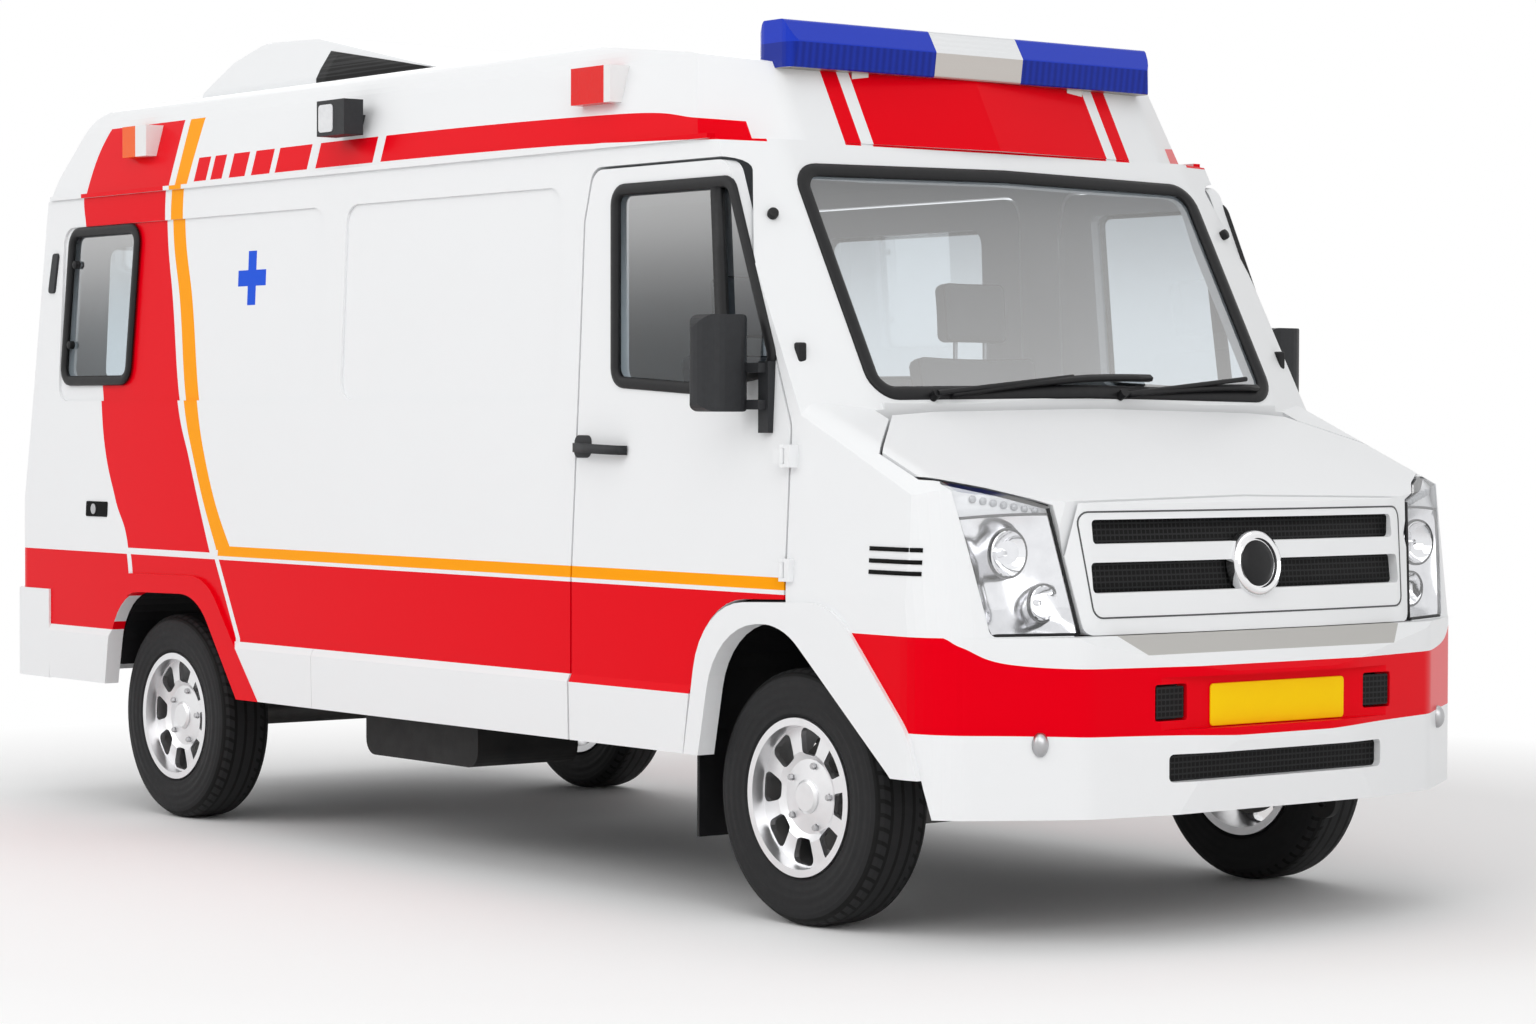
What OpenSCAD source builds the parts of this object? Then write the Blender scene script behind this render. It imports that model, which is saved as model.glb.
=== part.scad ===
// Ambulance on a bonneted light van: high roof, hinged cab and rear doors,
// one sliding side door, front wheels that steer and a bonnet that lifts.
// X points forward, Y to the vehicle's left, Z up, origin on the ground at mid length.

/* [Running gear] */
// Distance between the front and rear axle centres
wheelbase = 3350; // [3320:5:3370]
// Front axle centre ahead of the origin
front_axle_x = 1750; // [1740:1:1760]
// Half of the distance between the wheels' middle planes
half_track = 830; // [826:1:834]
// Outer radius of the tyres
tyre_r = 343; // [338:1:348]
// Width of the tyres
tyre_w = 190; // [184:1:196]
// Outer radius of the rim flanges
rim_r = 212; // [206:1:218]
// Width between the rim flanges
rim_w = 160; // [156:1:164]
// Radius of the stub axles in the wheel hubs
spindle_r = 28; // [24:1:32]
// Radius of the kingpins that the front wheels steer on
kingpin_r = 20; // [17:1:22]
// Distance of the kingpins from the middle plane
kingpin_y = 745; // [740:1:750]
// Radial clearance of a turning fit
running_gap = 0.05; // [0.02:0.01:0.09]
// Oval openings in each wheel disc
rim_windows = 8; // [5:1:8]

/* [Frame] */
// Distance of the frame rails from the middle plane
rail_y = 430; // [426:1:434]
// Width of a frame rail
rail_w = 70; // [60:1:76]
// Underside of the frame rails
rail_z = 480; // [474:1:486]
// Radius of the towing eyes
tow_eye_r = 20; // [16:1:24]
// Thickness of the leaf spring packs
spring_t = 36; // [30:1:40]

/* [Body shell] */
// Half width of the body below the crease
body_half_w = 985; // [980:1:990]
// Half width of the body at the waist
waist_half_w = 960; // [957:1:963]
// Half width of the body under the gutter
gutter_half_w = 930; // [927:1:933]
// Height of the crease along the sides
crease_z = 892; // [885:1:900]
// Height of the waist, the lower edge of the pressed recesses
waist_z = 1400; // [1390:1:1410]
// Height of the gutter, where the roof sits on the walls
gutter_z = 2110; // [2105:1:2115]
// Height of the roof at its middle
roof_z = 2468; // [2460:1:2480]
// Thickness of walls and doors
wall_t = 45; // [40:1:48]
// Depth of the pressed recesses in the sides
recess_d = 9; // [4:1:14]
// Top of the floor
floor_z = 640; // [636:1:650]
// Thickness of the floor
floor_t = 40; // [30:1:48]
// Outer face of the rear end
rear_x = -2606; // [-2612:1:-2600]
// Gap around doors and lids
shut_gap = 8; // [6:0.5:9]
// Thickness of the window glass
glass_t = 5; // [4:0.5:8]
// Height of the lower edge of the skirts
skirt_low_z = 435; // [430:1:440]
// Height of the upper edge of the skirts, where the walls begin
skirt_top_z = 622; // [618:1:626]
// How far skirts and arch flares stand proud of the sides
skirt_proud = 11; // [8:1:14]

/* [Cab and nose] */
// Rear edge of the cab doors
door_rear_x = 810; // [805:1:815]
// Front edge of the cab doors below the waist
door_front_x = 1775; // [1770:1:1778]
// Upper edge of the cab doors
door_top_z = 2050; // [2040:1:2056]
// Lean of the windscreen from upright
screen_rake = 29.2; // [28.6:0.1:29.8]
// Foot of the windscreen at the middle plane
screen_foot_x = 1902; // [1897:1:1906]
// Height of the windscreen's foot
screen_foot_z = 1397; // [1392:1:1402]
// Fall of the bonnet from level
bonnet_fall = 22.6; // [22:0.1:23]
// Rear edge of the bonnet
bonnet_rear_x = 1928; // [1924:1:1932]
// Height of the bonnet at its rear edge
bonnet_rear_z = 1378; // [1372:1:1384]
// Front edge of the bonnet
bonnet_front_x = 2474; // [2468:1:2478]
// Half width of the bonnet at its rear edge
bonnet_half_w = 742; // [735:1:750]
// Thickness of the bonnet, fenders and grille
nose_t = 36; // [28:1:40]
// Front face of the grille at the middle plane
nose_x = 2556; // [2550:1:2562]
// Front face of the bumper at the middle plane
bumper_x = 2648; // [2644:1:2652]

/* [Roof fittings] */
// Half length of the light bar
bar_half_w = 690; // [670:5:710]
// Half width of the roof unit at its foot
pod_half_w = 540; // [520:5:560]
// Height of the roof unit's top
pod_z = 2651; // [2640:1:2660]

/* [Hidden] */
$fn = 48;
rear_axle_x = front_axle_x - wheelbase;
hub_bore_r = spindle_r + running_gap;
kingpin_bore_r = kingpin_r + running_gap;
seat_gap = 0.3;
far = 3000;

// Unit vector, and the arc that rounds corner b of the path a, b, c
function unit(v) = v / norm(v);
function fillet(a, b, c, r, n) =
    let (u = unit(a - b), v = unit(c - b), half = acos(u * v) / 2)
    let (m = b + unit(u + v) * r / sin(half))
    let (p = b + u * r / tan(half) - m, q = b + v * r / tan(half) - m)
    let (a0 = atan2(p[1], p[0]), turn = atan2(q[1], q[0]) - a0)
    let (sweep = turn > 180 ? turn - 360 : (turn < -180 ? turn + 360 : turn))
    [for (i = [0:n]) m + r * [cos(a0 + sweep * i / n), sin(a0 + sweep * i / n)]];
// Outline whose rows are [across, up, corner radius]; a radius of 0 keeps the corner
function rounded(rows, n = 6) =
    let (k = len(rows))
    [for (i = [0:k - 1])
        let (a = rows[(i + k - 1) % k], b = rows[i], c = rows[(i + 1) % k])
        let (pts = b[2] > 0 ? fillet([a[0], a[1]], [b[0], b[1]], [c[0], c[1]], b[2], n) : [[b[0], b[1]]])
        for (p = pts) p];
function mirrored(pts) = concat(pts, [for (i = [len(pts) - 1:-1:0]) [-pts[i][0], pts[i][1]]]);

// Prisms: an outline in the side view, the end view or the plan
module side_prism(pts, y0, y1) { translate([0, y1, 0]) rotate([90, 0,
    0]) linear_extrude(y1 - y0) polygon(pts); }
module end_prism(pts, x0, x1) { translate([x0, 0, 0]) rotate([90, 0,
    90]) linear_extrude(x1 - x0) polygon(pts); }
module plan_prism(pts, z0, z1) { translate([0, 0, z0]) linear_extrude(z1 - z0) polygon(pts); }
module block(x0, x1, y0, y1, z0, z1) { translate([x0, y0, z0]) cube([x1 - x0, y1 - y0, z1 - z0]); }
module bar_y(x, z, r, y0, y1) { translate([x, y1, z]) rotate([90, 0, 0]) cylinder(r = r, h = y1 - y0); }
module bar_x(y, z, r, x0, x1) { translate([x0, y, z]) rotate([0, 90, 0]) cylinder(r = r, h = x1 - x0); }
// Pieces are drawn on the left and mirrored for the right
module right() { mirror([0, 1, 0]) children(); }
module both() { children(); right() children(); }

// Body section: half outline of the sides, drawn inwards by inset t
function side_half(t) = [
    [body_half_w - t, skirt_low_z],
    [body_half_w - t, crease_z],
    [waist_half_w - t, waist_z],
    [gutter_half_w - t, gutter_z]];
// Layer of the left side between two depths
module side_layer(t0, t1, x0, x1) {
    a = side_half(t0);
    b = side_half(t1);
    end_prism(concat(a, [for (i = [len(b) - 1:-1:0]) b[i]]), x0, x1);
}
// Whole body between the sides, closed by the leaning rear face and the rounded rear corners
rear_lean_x = 134;
lean_foot_z = 640;
rear_lean = atan(rear_lean_x / (gutter_z - lean_foot_z));
rear_corner_r = 70;
module body_block(t) {
    intersection() {
        end_prism(mirrored(side_half(t)), rear_x, door_rear_x);
        side_prism([
            [rear_x + t, skirt_low_z],
            [rear_x + t, lean_foot_z],
            [rear_x + rear_lean_x + t, gutter_z],
            [door_rear_x, gutter_z],
            [door_rear_x, skirt_low_z]], -far, far);
        plan_prism(rounded([
            [rear_x + t, -body_half_w + t, rear_corner_r],
            [door_rear_x, -body_half_w + t, 0],
            [door_rear_x, body_half_w - t, 0],
            [rear_x + t, body_half_w - t, rear_corner_r]]), skirt_low_z, gutter_z);
    }
}

// Wheel arch outlines, grown outwards for the flare and the liner
front_arch_rear_x = front_axle_x - 355;
front_arch_front_x = front_axle_x + 586;
rear_arch_rear_x = rear_axle_x - 368;
rear_arch_front_x = rear_axle_x + 628;
arch_foot_z = 330;
front_arch_z = 800;
rear_arch_z = 760;
flare_w = 62;
liner_t = 12;
function front_arch(g) = rounded([
    [front_arch_rear_x - g, arch_foot_z, 0],
    [front_arch_rear_x + 95 - g, front_arch_z - 10 + g, 230],
    [front_axle_x + 26 + 3.37 * g, front_arch_z + 10 + g, 230],
    [front_axle_x + 460 + 1.21 * g, 447 + 1.74 * g, 200],
    [front_arch_front_x + 0.16 * g, arch_foot_z, 0]], 8);
function rear_arch(g) = rounded([
    [rear_arch_rear_x - g, arch_foot_z, 0],
    [rear_arch_rear_x + 83 - g, rear_arch_z - 5 + g, 220],
    [rear_arch_front_x - 340 + g, rear_arch_z + 5 + g, 220],
    [rear_arch_front_x + 2.2 * g, arch_foot_z, 0]], 8);

// Ladder frame with cross members, spring hangers and a towing eye at each end
rail_h = floor_z - floor_t - rail_z;
frame_front_x = 2440;
frame_rear_x = rear_x + 90;
cross_x = [frame_rear_x + 60, rear_axle_x + 700, 0, 1080, 2300];
cross_w = 80;
tow_plate_t = 20;
tow_plate_w = 100;
// Towing eyes: place along the frame and height, clear below the bumpers
tow_rows = [[frame_rear_x + 55, 388], [frame_front_x - 55, 306]];
module chassis_frame() {
    color("dimgray") difference() {
        union() {
            both() block(frame_rear_x, frame_front_x, rail_y - rail_w / 2, rail_y + rail_w / 2, rail_z,
                rail_z + rail_h);
            for (x = cross_x)
                block(x - cross_w / 2, x + cross_w / 2, -rail_y, rail_y, rail_z + 20, rail_z + rail_h - 10);
            for (row = tow_rows) tow_plate(row[0], row[1]);
        }
        for (row = tow_rows) bar_y(row[0], row[1], tow_eye_r, rail_y - rail_w, rail_y + rail_w);
    }
}
module tow_plate(x, z) {
    block(x - tow_plate_w / 2, x + tow_plate_w / 2, rail_y - tow_plate_t / 2, rail_y + tow_plate_t / 2,
        z, rail_z + 20);
    bar_y(x, z, tow_plate_w / 2, rail_y - tow_plate_t / 2, rail_y + tow_plate_t / 2);
}

// Leaf spring packs over both axles: half length, underside height at the axle
front_spring_z = 330;
rear_spring_z = tyre_r + 45;
spring_rows = [[front_axle_x, 520, front_spring_z], [rear_axle_x, 620, rear_spring_z]];
spring_steps = 10;
function spring_line(x, half, z, rise) =
    [for (i = [-spring_steps:spring_steps]) [x + half * i / spring_steps, z + rise * pow(i / spring_steps, 2)]];
module leaf_springs() {
    color("dimgray") for (row = spring_rows) {
        rise = rail_z - spring_t - row[2];
        low = spring_line(row[0], row[1], row[2], rise);
        high = spring_line(row[0], row[1], row[2] + spring_t, rise);
        both() side_prism(concat(low, [for (i = [len(high) - 1:-1:0]) high[i]]), rail_y - 30, rail_y + 30);
    }
}

// Forged front axle beam with a yoke at each end that holds the kingpin
yoke_low_z = tyre_r - 93;
yoke_high_z = tyre_r + 97;
yoke_ear_t = 36;
yoke_half_x = 28;
yoke_back_y = kingpin_y - 48;
module front_axle() {
    color("dimgray") difference() {
        union() {
            block(front_axle_x - 42, front_axle_x + 42, -yoke_back_y, yoke_back_y, yoke_low_z, front_spring_z);
            both() {
                block(front_axle_x - yoke_half_x, front_axle_x + yoke_half_x,
                    yoke_back_y - 20, yoke_back_y, yoke_low_z, yoke_high_z);
                for (z = [yoke_low_z, yoke_high_z - yoke_ear_t]) yoke_ear(z);
            }
        }
        both() translate([front_axle_x, kingpin_y, yoke_low_z - 20]) cylinder(r = kingpin_bore_r, h = 300);
    }
}
module yoke_ear(z) {
    block(front_axle_x - yoke_half_x, front_axle_x + yoke_half_x, yoke_back_y - 20, kingpin_y, z,
        z + yoke_ear_t);
    translate([front_axle_x, kingpin_y, z]) cylinder(r = yoke_half_x, h = yoke_ear_t);
}

// Steering knuckle: kingpin, stub axle and brake back plate
knuckle_gap = 0.5;
stub_end_y = half_track + 44;
module knuckle() {
    color("gray") {
        translate([front_axle_x, kingpin_y, yoke_low_z - 6]) cylinder(r = kingpin_r,
            h = yoke_high_z - yoke_low_z + 12);
        translate([front_axle_x, kingpin_y, yoke_low_z + yoke_ear_t + knuckle_gap])
            cylinder(r = 32, h = yoke_high_z - yoke_low_z - 2 * yoke_ear_t - 2 * knuckle_gap);
        bar_y(front_axle_x, tyre_r, spindle_r, kingpin_y, stub_end_y);
        bar_y(front_axle_x, tyre_r, 52, kingpin_y, half_track - 36);
        bar_y(front_axle_x, tyre_r, 150, half_track - 50, half_track - 36);
    }
}
module knuckle_left() { knuckle(); }
module knuckle_right() { right() knuckle(); }

// Live rear axle: tubes, final drive housing, stub ends and back plates
module rear_axle() {
    color("dimgray") {
        translate([rear_axle_x, 0, tyre_r]) sphere(r = 125);
        bar_y(rear_axle_x, tyre_r, 45, -half_track + 50, half_track - 50);
        both() bar_y(rear_axle_x, tyre_r, 150, half_track - 50, half_track - 36);
        bar_y(rear_axle_x, tyre_r, spindle_r, -stub_end_y, stub_end_y);
        bar_x(0, tyre_r + 60, 40, rear_axle_x + 60, rear_axle_x + 220);
    }
}

// Wheels: rim with hub, dished disc and oval windows, and the tyre between its flanges
barrel_r = rim_r - 22;
bead_r = rim_r - 14;
hub_r = 62;
hub_in = 34;
disc_y = 40;
disc_t = 12;
cap_r = 46;
window_in_r = 112;
window_out_r = 183;
window_turn = 5;
lug_turn = -3;
lug_pitch_r = 86;
lug_r = 11;
module rim() {
    rotate([-90, 0, 0]) difference() {
        union() {
            rotate_extrude($fn = 72) polygon([
                [0, disc_y + disc_t], [0, 62], [cap_r - 8, 62], [cap_r, 56], [cap_r, disc_y + disc_t],
                [100, disc_y + disc_t - 8], [120, disc_y + disc_t + 4], [barrel_r - 2, disc_y + disc_t],
                [barrel_r + 1, rim_w / 2], [barrel_r + 2, rim_w / 2 + 9], [rim_r, rim_w / 2 + 9],
                [rim_r, rim_w / 2], [bead_r, rim_w / 2 - 2], [bead_r, -rim_w / 2 + 2],
                [rim_r, -rim_w / 2], [rim_r, -rim_w / 2 - 9], [barrel_r, -rim_w / 2 - 9],
                [barrel_r, disc_y - 6], [120, disc_y], [100, disc_y - 8],
                [hub_r, disc_y - 4], [hub_r, -hub_in], [0, -hub_in]]);
        }
        translate([0, 0, -hub_in - 1]) cylinder(r = hub_bore_r, h = hub_in + 46);
        for (i = [0:rim_windows - 1]) rotate([0, 0, window_turn + i * 360 / rim_windows])
            linear_extrude(80) polygon(rounded([
                [window_in_r, -26, 14], [window_out_r, -48, 18], [window_out_r, 48, 18], [window_in_r,
                    26, 14]], 3));
        for (i = [0:4]) rotate([0, 0, lug_turn + i * 72])
            translate([lug_pitch_r, 0, disc_y + 4]) cylinder(r = lug_r, h = 40);
    }
}
// Half tyre section, rows of [radius, half width]
tyre_side = tyre_w / 2;
tyre_half = [
    [bead_r + seat_gap, rim_w / 2 - 2.5], [rim_r + 1, rim_w / 2 - seat_gap], [rim_r + 12, tyre_side - 5],
    [rim_r + 55, tyre_side], [tyre_r - 32, tyre_side - 3], [tyre_r - 14, tyre_side - 12],
    [tyre_r - 4, tyre_side - 26], [tyre_r, tyre_side - 44]];
module tyre() {
    low = [for (i = [len(tyre_half) - 1:-1:0]) [tyre_half[i][0], -tyre_half[i][1]]];
    rotate([-90, 0, 0]) rotate_extrude($fn = 72) polygon(concat(tyre_half, low));
}
module at_wheel(x) { translate([x, half_track, tyre_r]) children(); }
module rim_front_left() { color("silver") at_wheel(front_axle_x) rim(); }
module rim_front_right() { color("silver") right() at_wheel(front_axle_x) rim(); }
module rim_rear_left() { color("silver") at_wheel(rear_axle_x) rim(); }
module rim_rear_right() { color("silver") right() at_wheel(rear_axle_x) rim(); }
module tyre_front_left() { color("black") at_wheel(front_axle_x) tyre(); }
module tyre_front_right() { color("black") right() at_wheel(front_axle_x) tyre(); }
module tyre_rear_left() { color("black") at_wheel(rear_axle_x) tyre(); }
module tyre_rear_right() { color("black") right() at_wheel(rear_axle_x) tyre(); }

// Engine, tank and exhaust under the floor
engine_y = rail_y - rail_w / 2 - seat_gap;
module engine() {
    color("gray") block(1850, 2255, -engine_y, engine_y, 420, 1010);
}
// Cooling pack behind the grille, standing between the frame rails
radiator_x = 2392;
radiator_t = 44;
radiator_half_w = 560;
radiator_top_z = 1080;
module radiator() {
    color("black") end_prism(mirrored([
        [engine_y, rail_z + 20], [engine_y, rail_z + rail_h + 1],
        [radiator_half_w, rail_z + rail_h + 1], [radiator_half_w, radiator_top_z]]), radiator_x,
            radiator_x + radiator_t);
}
module fuel_tank() {
    tank_y = rail_y + rail_w / 2 + seat_gap;
    color("dimgray") right() side_prism(rounded([
        [-520, 290, 50], [110, 290, 50], [110, 560, 30], [-520, 560, 30]]), tank_y, tank_y + 370);
}
pipe_y = 250;
pipe_z = 470;
module exhaust() {
    color("gray") {
        bar_x(pipe_y, pipe_z, 28, rear_x + 40, 1500);
        bar_x(pipe_y, pipe_z, 85, -820, -330);
        for (x = [-1250, -650, 600]) translate([x, pipe_y, pipe_z]) cylinder(r = 7,
            h = floor_z - floor_t - pipe_z);
    }
}

// Floor, cut out round the wheel liners
floor_half_w = body_half_w - wall_t;
cab_floor_half_w = floor_half_w - shut_gap;
module floor_pan() {
    color("lightgray") difference() {
        union() {
            plan_prism(rounded([
                [rear_x + wall_t + shut_gap, -floor_half_w, 120], [wall_front_x, -floor_half_w, 0],
                [wall_front_x, floor_half_w, 0], [rear_x + wall_t + shut_gap, floor_half_w, 120]]),
                    floor_z - floor_t, floor_z);
            block(wall_front_x, firewall_x + firewall_t, -cab_floor_half_w, cab_floor_half_w,
                floor_z - floor_t, floor_z);
        }
        both() {
            side_prism(front_arch(steer_room + liner_t), liner_in_y - liner_t, far);
            side_prism(rear_arch(liner_t), liner_in_y - liner_t, far);
        }
    }
}
// Wheel housings: arched liners closed towards the frame
liner_in_y = rail_y + rail_w / 2 + 15;
steer_room = 58;
module wheel_liners() {
    color("black") both() {
        liner_shell(front_arch(steer_room), front_arch(steer_room + liner_t), front_axle_x);
        liner_shell(rear_arch(0), rear_arch(liner_t), rear_axle_x);
    }
}
function liner_plan() = concat([[rear_x, -far], [rear_x, far]], bumper_plan(bumper_t + shut_gap));
module liner_shell(inside, outside, x) {
    difference() {
        intersection() {
            side_prism(outside, liner_in_y - liner_t, cab_floor_half_w);
            plan_prism(liner_plan(), 0, far);
        }
        side_prism(inside, liner_in_y, far);
        block(x - far, x + far, 0, far, 0, rail_z + 20);
    }
}

// Side walls with the pressed recesses and the rear side windows
wall_front_x = door_rear_x - shut_gap;
wall_rear_x = rear_x + 176;
recess_top_z = 2010;
recess_r = 60;
side_window = [[-2280, 1987, 45], [-1815, 1987, 45], [-1850, 1479, 45], [-2310, 1479, 45]];
recess_rows = [[-475, 690], [-2345, -608]];
slide_rear_x = -560;
slide_front_x = 620;
slide_top_z = 2052;
function recess(row) = rounded([
    [row[0], waist_z + 4, recess_r], [row[1], waist_z + 4, recess_r],
    [row[1], recess_top_z, recess_r], [row[0], recess_top_z, recess_r]]);
module side_wall() {
    difference() {
        side_layer(0, wall_t, wall_rear_x, wall_front_x);
        block(-far, far, 0, far, 0, skirt_top_z);
        side_prism(rounded(side_window), 0, far);
        rear_arch_cut();
    }
}
module recess_cut(row) {
    intersection() {
        side_layer(-1, recess_d, wall_rear_x, wall_front_x);
        side_prism(recess(row), 0, far);
    }
}
module side_wall_right() {
    color("white") right() difference() {
        side_wall();
        for (row = recess_rows) recess_cut(row);
    }
}
module side_wall_left() {
    color("white") difference() {
        side_wall();
        recess_cut(recess_rows[1]);
        slide_outline(shut_gap);
    }
}
module slide_outline(g) {
    side_prism(rounded([
        [slide_rear_x - g, skirt_top_z - 1, 0], [slide_front_x + g, skirt_top_z - 1, 0],
        [slide_front_x + g, slide_top_z + g, 70], [slide_rear_x - g, slide_top_z + g, 70]]), 0, far);
}
slide_window = [[-380, 1960, 50], [440, 1960, 50], [440, 1480, 50], [-380, 1480, 50]];
module sliding_door() {
    color("white") difference() {
        intersection() {
            side_layer(0, wall_t, slide_rear_x, slide_front_x);
            slide_outline(0);
        }
        block(-far, far, 0, far, 0, skirt_top_z + seat_gap);
        side_prism(rounded(slide_window), 0, far);
    }
}
// Panes in the side walls and the sliding door
pane_d = 12;
module pane(pts, x0, x1) {
    intersection() {
        side_layer(pane_d, pane_d + glass_t, x0, x1);
        side_prism(rounded(pts), 0, far);
    }
}
module side_glass() {
    color("slategray") {
        both() pane(side_window, wall_rear_x, wall_front_x);
        pane(slide_window, slide_rear_x, slide_front_x);
    }
}

// Rear end: corner pillars, header and sill round the rear doors
rear_door_half_w = 838;
rear_door_low_z = 652;
rear_door_top_z = 2060;
module rear_frame() {
    color("white") difference() {
        body_block(0);
        body_block(wall_t);
        block(wall_rear_x, far, -far, far, 0, far);
        block(-far, far, -far, far, 0, skirt_top_z);
        block(-far, far, -rear_door_half_w - shut_gap, rear_door_half_w + shut_gap,
            rear_door_low_z - shut_gap, rear_door_top_z + shut_gap);
    }
}
// Rear doors follow the leaning rear face; each carries a window
rear_window = [[130, 1960, 50], [700, 1960, 50], [700, 1470, 50], [130, 1470, 50]];
module rear_face(t0, t1, y0, y1) {
    side_prism([
        [rear_x + t0, lean_foot_z], [rear_x + rear_lean_x + t0, gutter_z],
        [rear_x + rear_lean_x + t1, gutter_z], [rear_x + t1, lean_foot_z]], y0, y1);
}
module rear_door() {
    difference() {
        union() {
            rear_face(0, wall_t, shut_gap / 2, rear_door_half_w);
            for (z = rear_hinge_z) rear_plane(z) rotate([0, 0, 90]) hinge_moving(rear_hinge_sink);
        }
        block(-far, far, 0, far, rear_door_top_z, far);
        block(-far, far, 0, far, 0, rear_door_low_z);
        end_prism(rounded(rear_window), -far, 0);
    }
}
module rear_pane() {
    intersection() {
        rear_face(pane_d, pane_d + glass_t, 0, rear_door_half_w);
        end_prism(rounded(rear_window), -far, 0);
    }
}
module rear_door_left() { color("white") rear_door(); }
module rear_door_right() { color("white") right() rear_door(); }
module rear_door_left_glass() { color("slategray") rear_pane(); }
module rear_door_right_glass() { color("slategray") right() rear_pane(); }

// High roof: side profile, crowned section and a front brow that carries the sign panel
roof_t = 40;
gutter_lip = 12;
brow_rake = 28.5;
brow_foot_x = 1536;
brow_foot_z = 2093;
function roof_profile(t) = rounded([
    [rear_x + rear_lean_x + t, gutter_z, 0],
    [rear_x + rear_lean_x + 30 + t, gutter_z + 80, 60],
    [-2270 + t, 2420 - t, 120],
    [-1850, roof_z - t, 400],
    [250, roof_z - t, 900],
    [1200, 2362 - t, 200],
    [1400, 2326 - t, 30],
    [brow_foot_x, 2326 - t, 0],
    [brow_foot_x, gutter_z, 0]], 5);
function roof_half(t) = rounded([
    [0, gutter_z, 0],
    [gutter_half_w - 6 - t, gutter_z, 0],
    [838 - t, 2430 - t, 130 - t],
    [0, roof_z - t, 0]], 8);
module roof_block(t) {
    intersection() {
        side_prism(roof_profile(t), -far, far);
        both() end_prism(roof_half(t), rear_x, brow_foot_x);
        brow(t);
    }
}
// Everything behind the leaning brow, with its corners turned back in plan
module brow(t) {
    translate([brow_foot_x, 0, brow_foot_z]) rotate([0, -brow_rake, 0]) translate([0, 0, -400])
        linear_extrude(far) polygon(mirrored_y(rounded([
            [-2 * far, 1000, 0], [-230 - t, 1000 - t, 60], [-45 - t, 690 - t, 120], [-t, 0, 0]], 6)));
}
function mirrored_y(pts) = concat(pts, [for (i = [len(pts) - 2:-1:0]) [pts[i][0], -pts[i][1]]]);
module roof() {
    color("white") {
        difference() {
            roof_block(0);
            difference() {
                roof_block(roof_t);
                block(rear_x, far, -far, far, 0, gutter_z - 1);
            }
        }
        both() gutter_strip();
    }
}
module gutter_strip() {
    block(-2440, 1380, gutter_half_w - 16, gutter_half_w + gutter_lip, gutter_z, gutter_z + 14);
}

// Cab front: pillars, header rail, scuttle and bulkhead behind the engine
firewall_x = 1785;
firewall_t = 12;
firewall_half_w = 890;
pillar_t = 48;
cab_low_z = 1300;
screen_half_w = 735;
screen_len = 728;
cowl_w = 38;
cowl_gap = 36;
cowl_half_w = 772;
scuttle_x = bonnet_rear_x - cowl_gap;
scuttle_half_w = 740;
firewall_low_w = 455;
firewall_step_z = 905;
screen_r = 60;
module cab_slope(t) {
    translate([screen_foot_x, 0, screen_foot_z]) rotate([0, -screen_rake, 0]) translate([0, 0, -400])
        linear_extrude(1600) polygon(mirrored_y(rounded([
            [-far, 1040, 0], [-120 - t, 1040 - t, 40], [-22 - t, 760 - t, 160], [-t, 0, 0]], 6)));
}
module cab_sheet(t) {
    intersection() {
        cab_slope(t);
        end_prism(mirrored(side_half(t)), 700, 2100);
    }
}
// Cab and nose together, inside the body's sides
module cab_block(t, nose) {
    intersection() {
        union() {
            cab_slope(t);
            nose_slope(nose);
        }
        end_prism(mirrored(side_half(t)), 700, 2700);
    }
}
// Outline of the windscreen, measured across and up along the slope
module screen_prism(g) {
    translate([screen_foot_x, 0, screen_foot_z]) rotate([0, -screen_rake, 0]) rotate([90, 0, 90])
        translate([0, 0, -200]) linear_extrude(400) polygon(rounded([
            [-screen_half_w - g, cowl_w - g, screen_r], [screen_half_w + g, cowl_w - g, screen_r],
            [screen_half_w + g, screen_len + g, screen_r], [-screen_half_w - g, screen_len + g, screen_r]]));
}
module cab_front() {
    color("white") {
        difference() {
            cab_block(0, 0);
            cab_block(pillar_t, nose_t);
            both() fender_zone();
            block(0, far, -far, far, gutter_z, far);
            block(-far, wall_front_x, -far, far, 0, far);
            screen_prism(0);
            both() side_prism(door_outline(shut_gap), 500, far);
            bonnet_zone(shut_gap);
            block(scuttle_x, far, -cowl_half_w, cowl_half_w, 0, far);
            block(bonnet_front_x - 200, far, -far, far, 0, far);
        }
        block(firewall_x, firewall_x + firewall_t, -firewall_low_w, firewall_low_w, floor_z, cab_low_z + 2);
        block(firewall_x, firewall_x + firewall_t, -firewall_half_w, firewall_half_w, firewall_step_z,
            cab_low_z + 2);
        block(firewall_x, scuttle_x, -scuttle_half_w, scuttle_half_w, cab_low_z - 10, cab_low_z + 2);
        block(scuttle_x - firewall_t, scuttle_x, -scuttle_half_w, scuttle_half_w, cab_low_z,
            bonnet_rear_z + 12);
    }
}
module windscreen() {
    color("lightsteelblue") intersection() {
        difference() {
            cab_sheet(6);
            cab_sheet(6 + glass_t);
        }
        screen_prism(0);
    }
}

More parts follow.
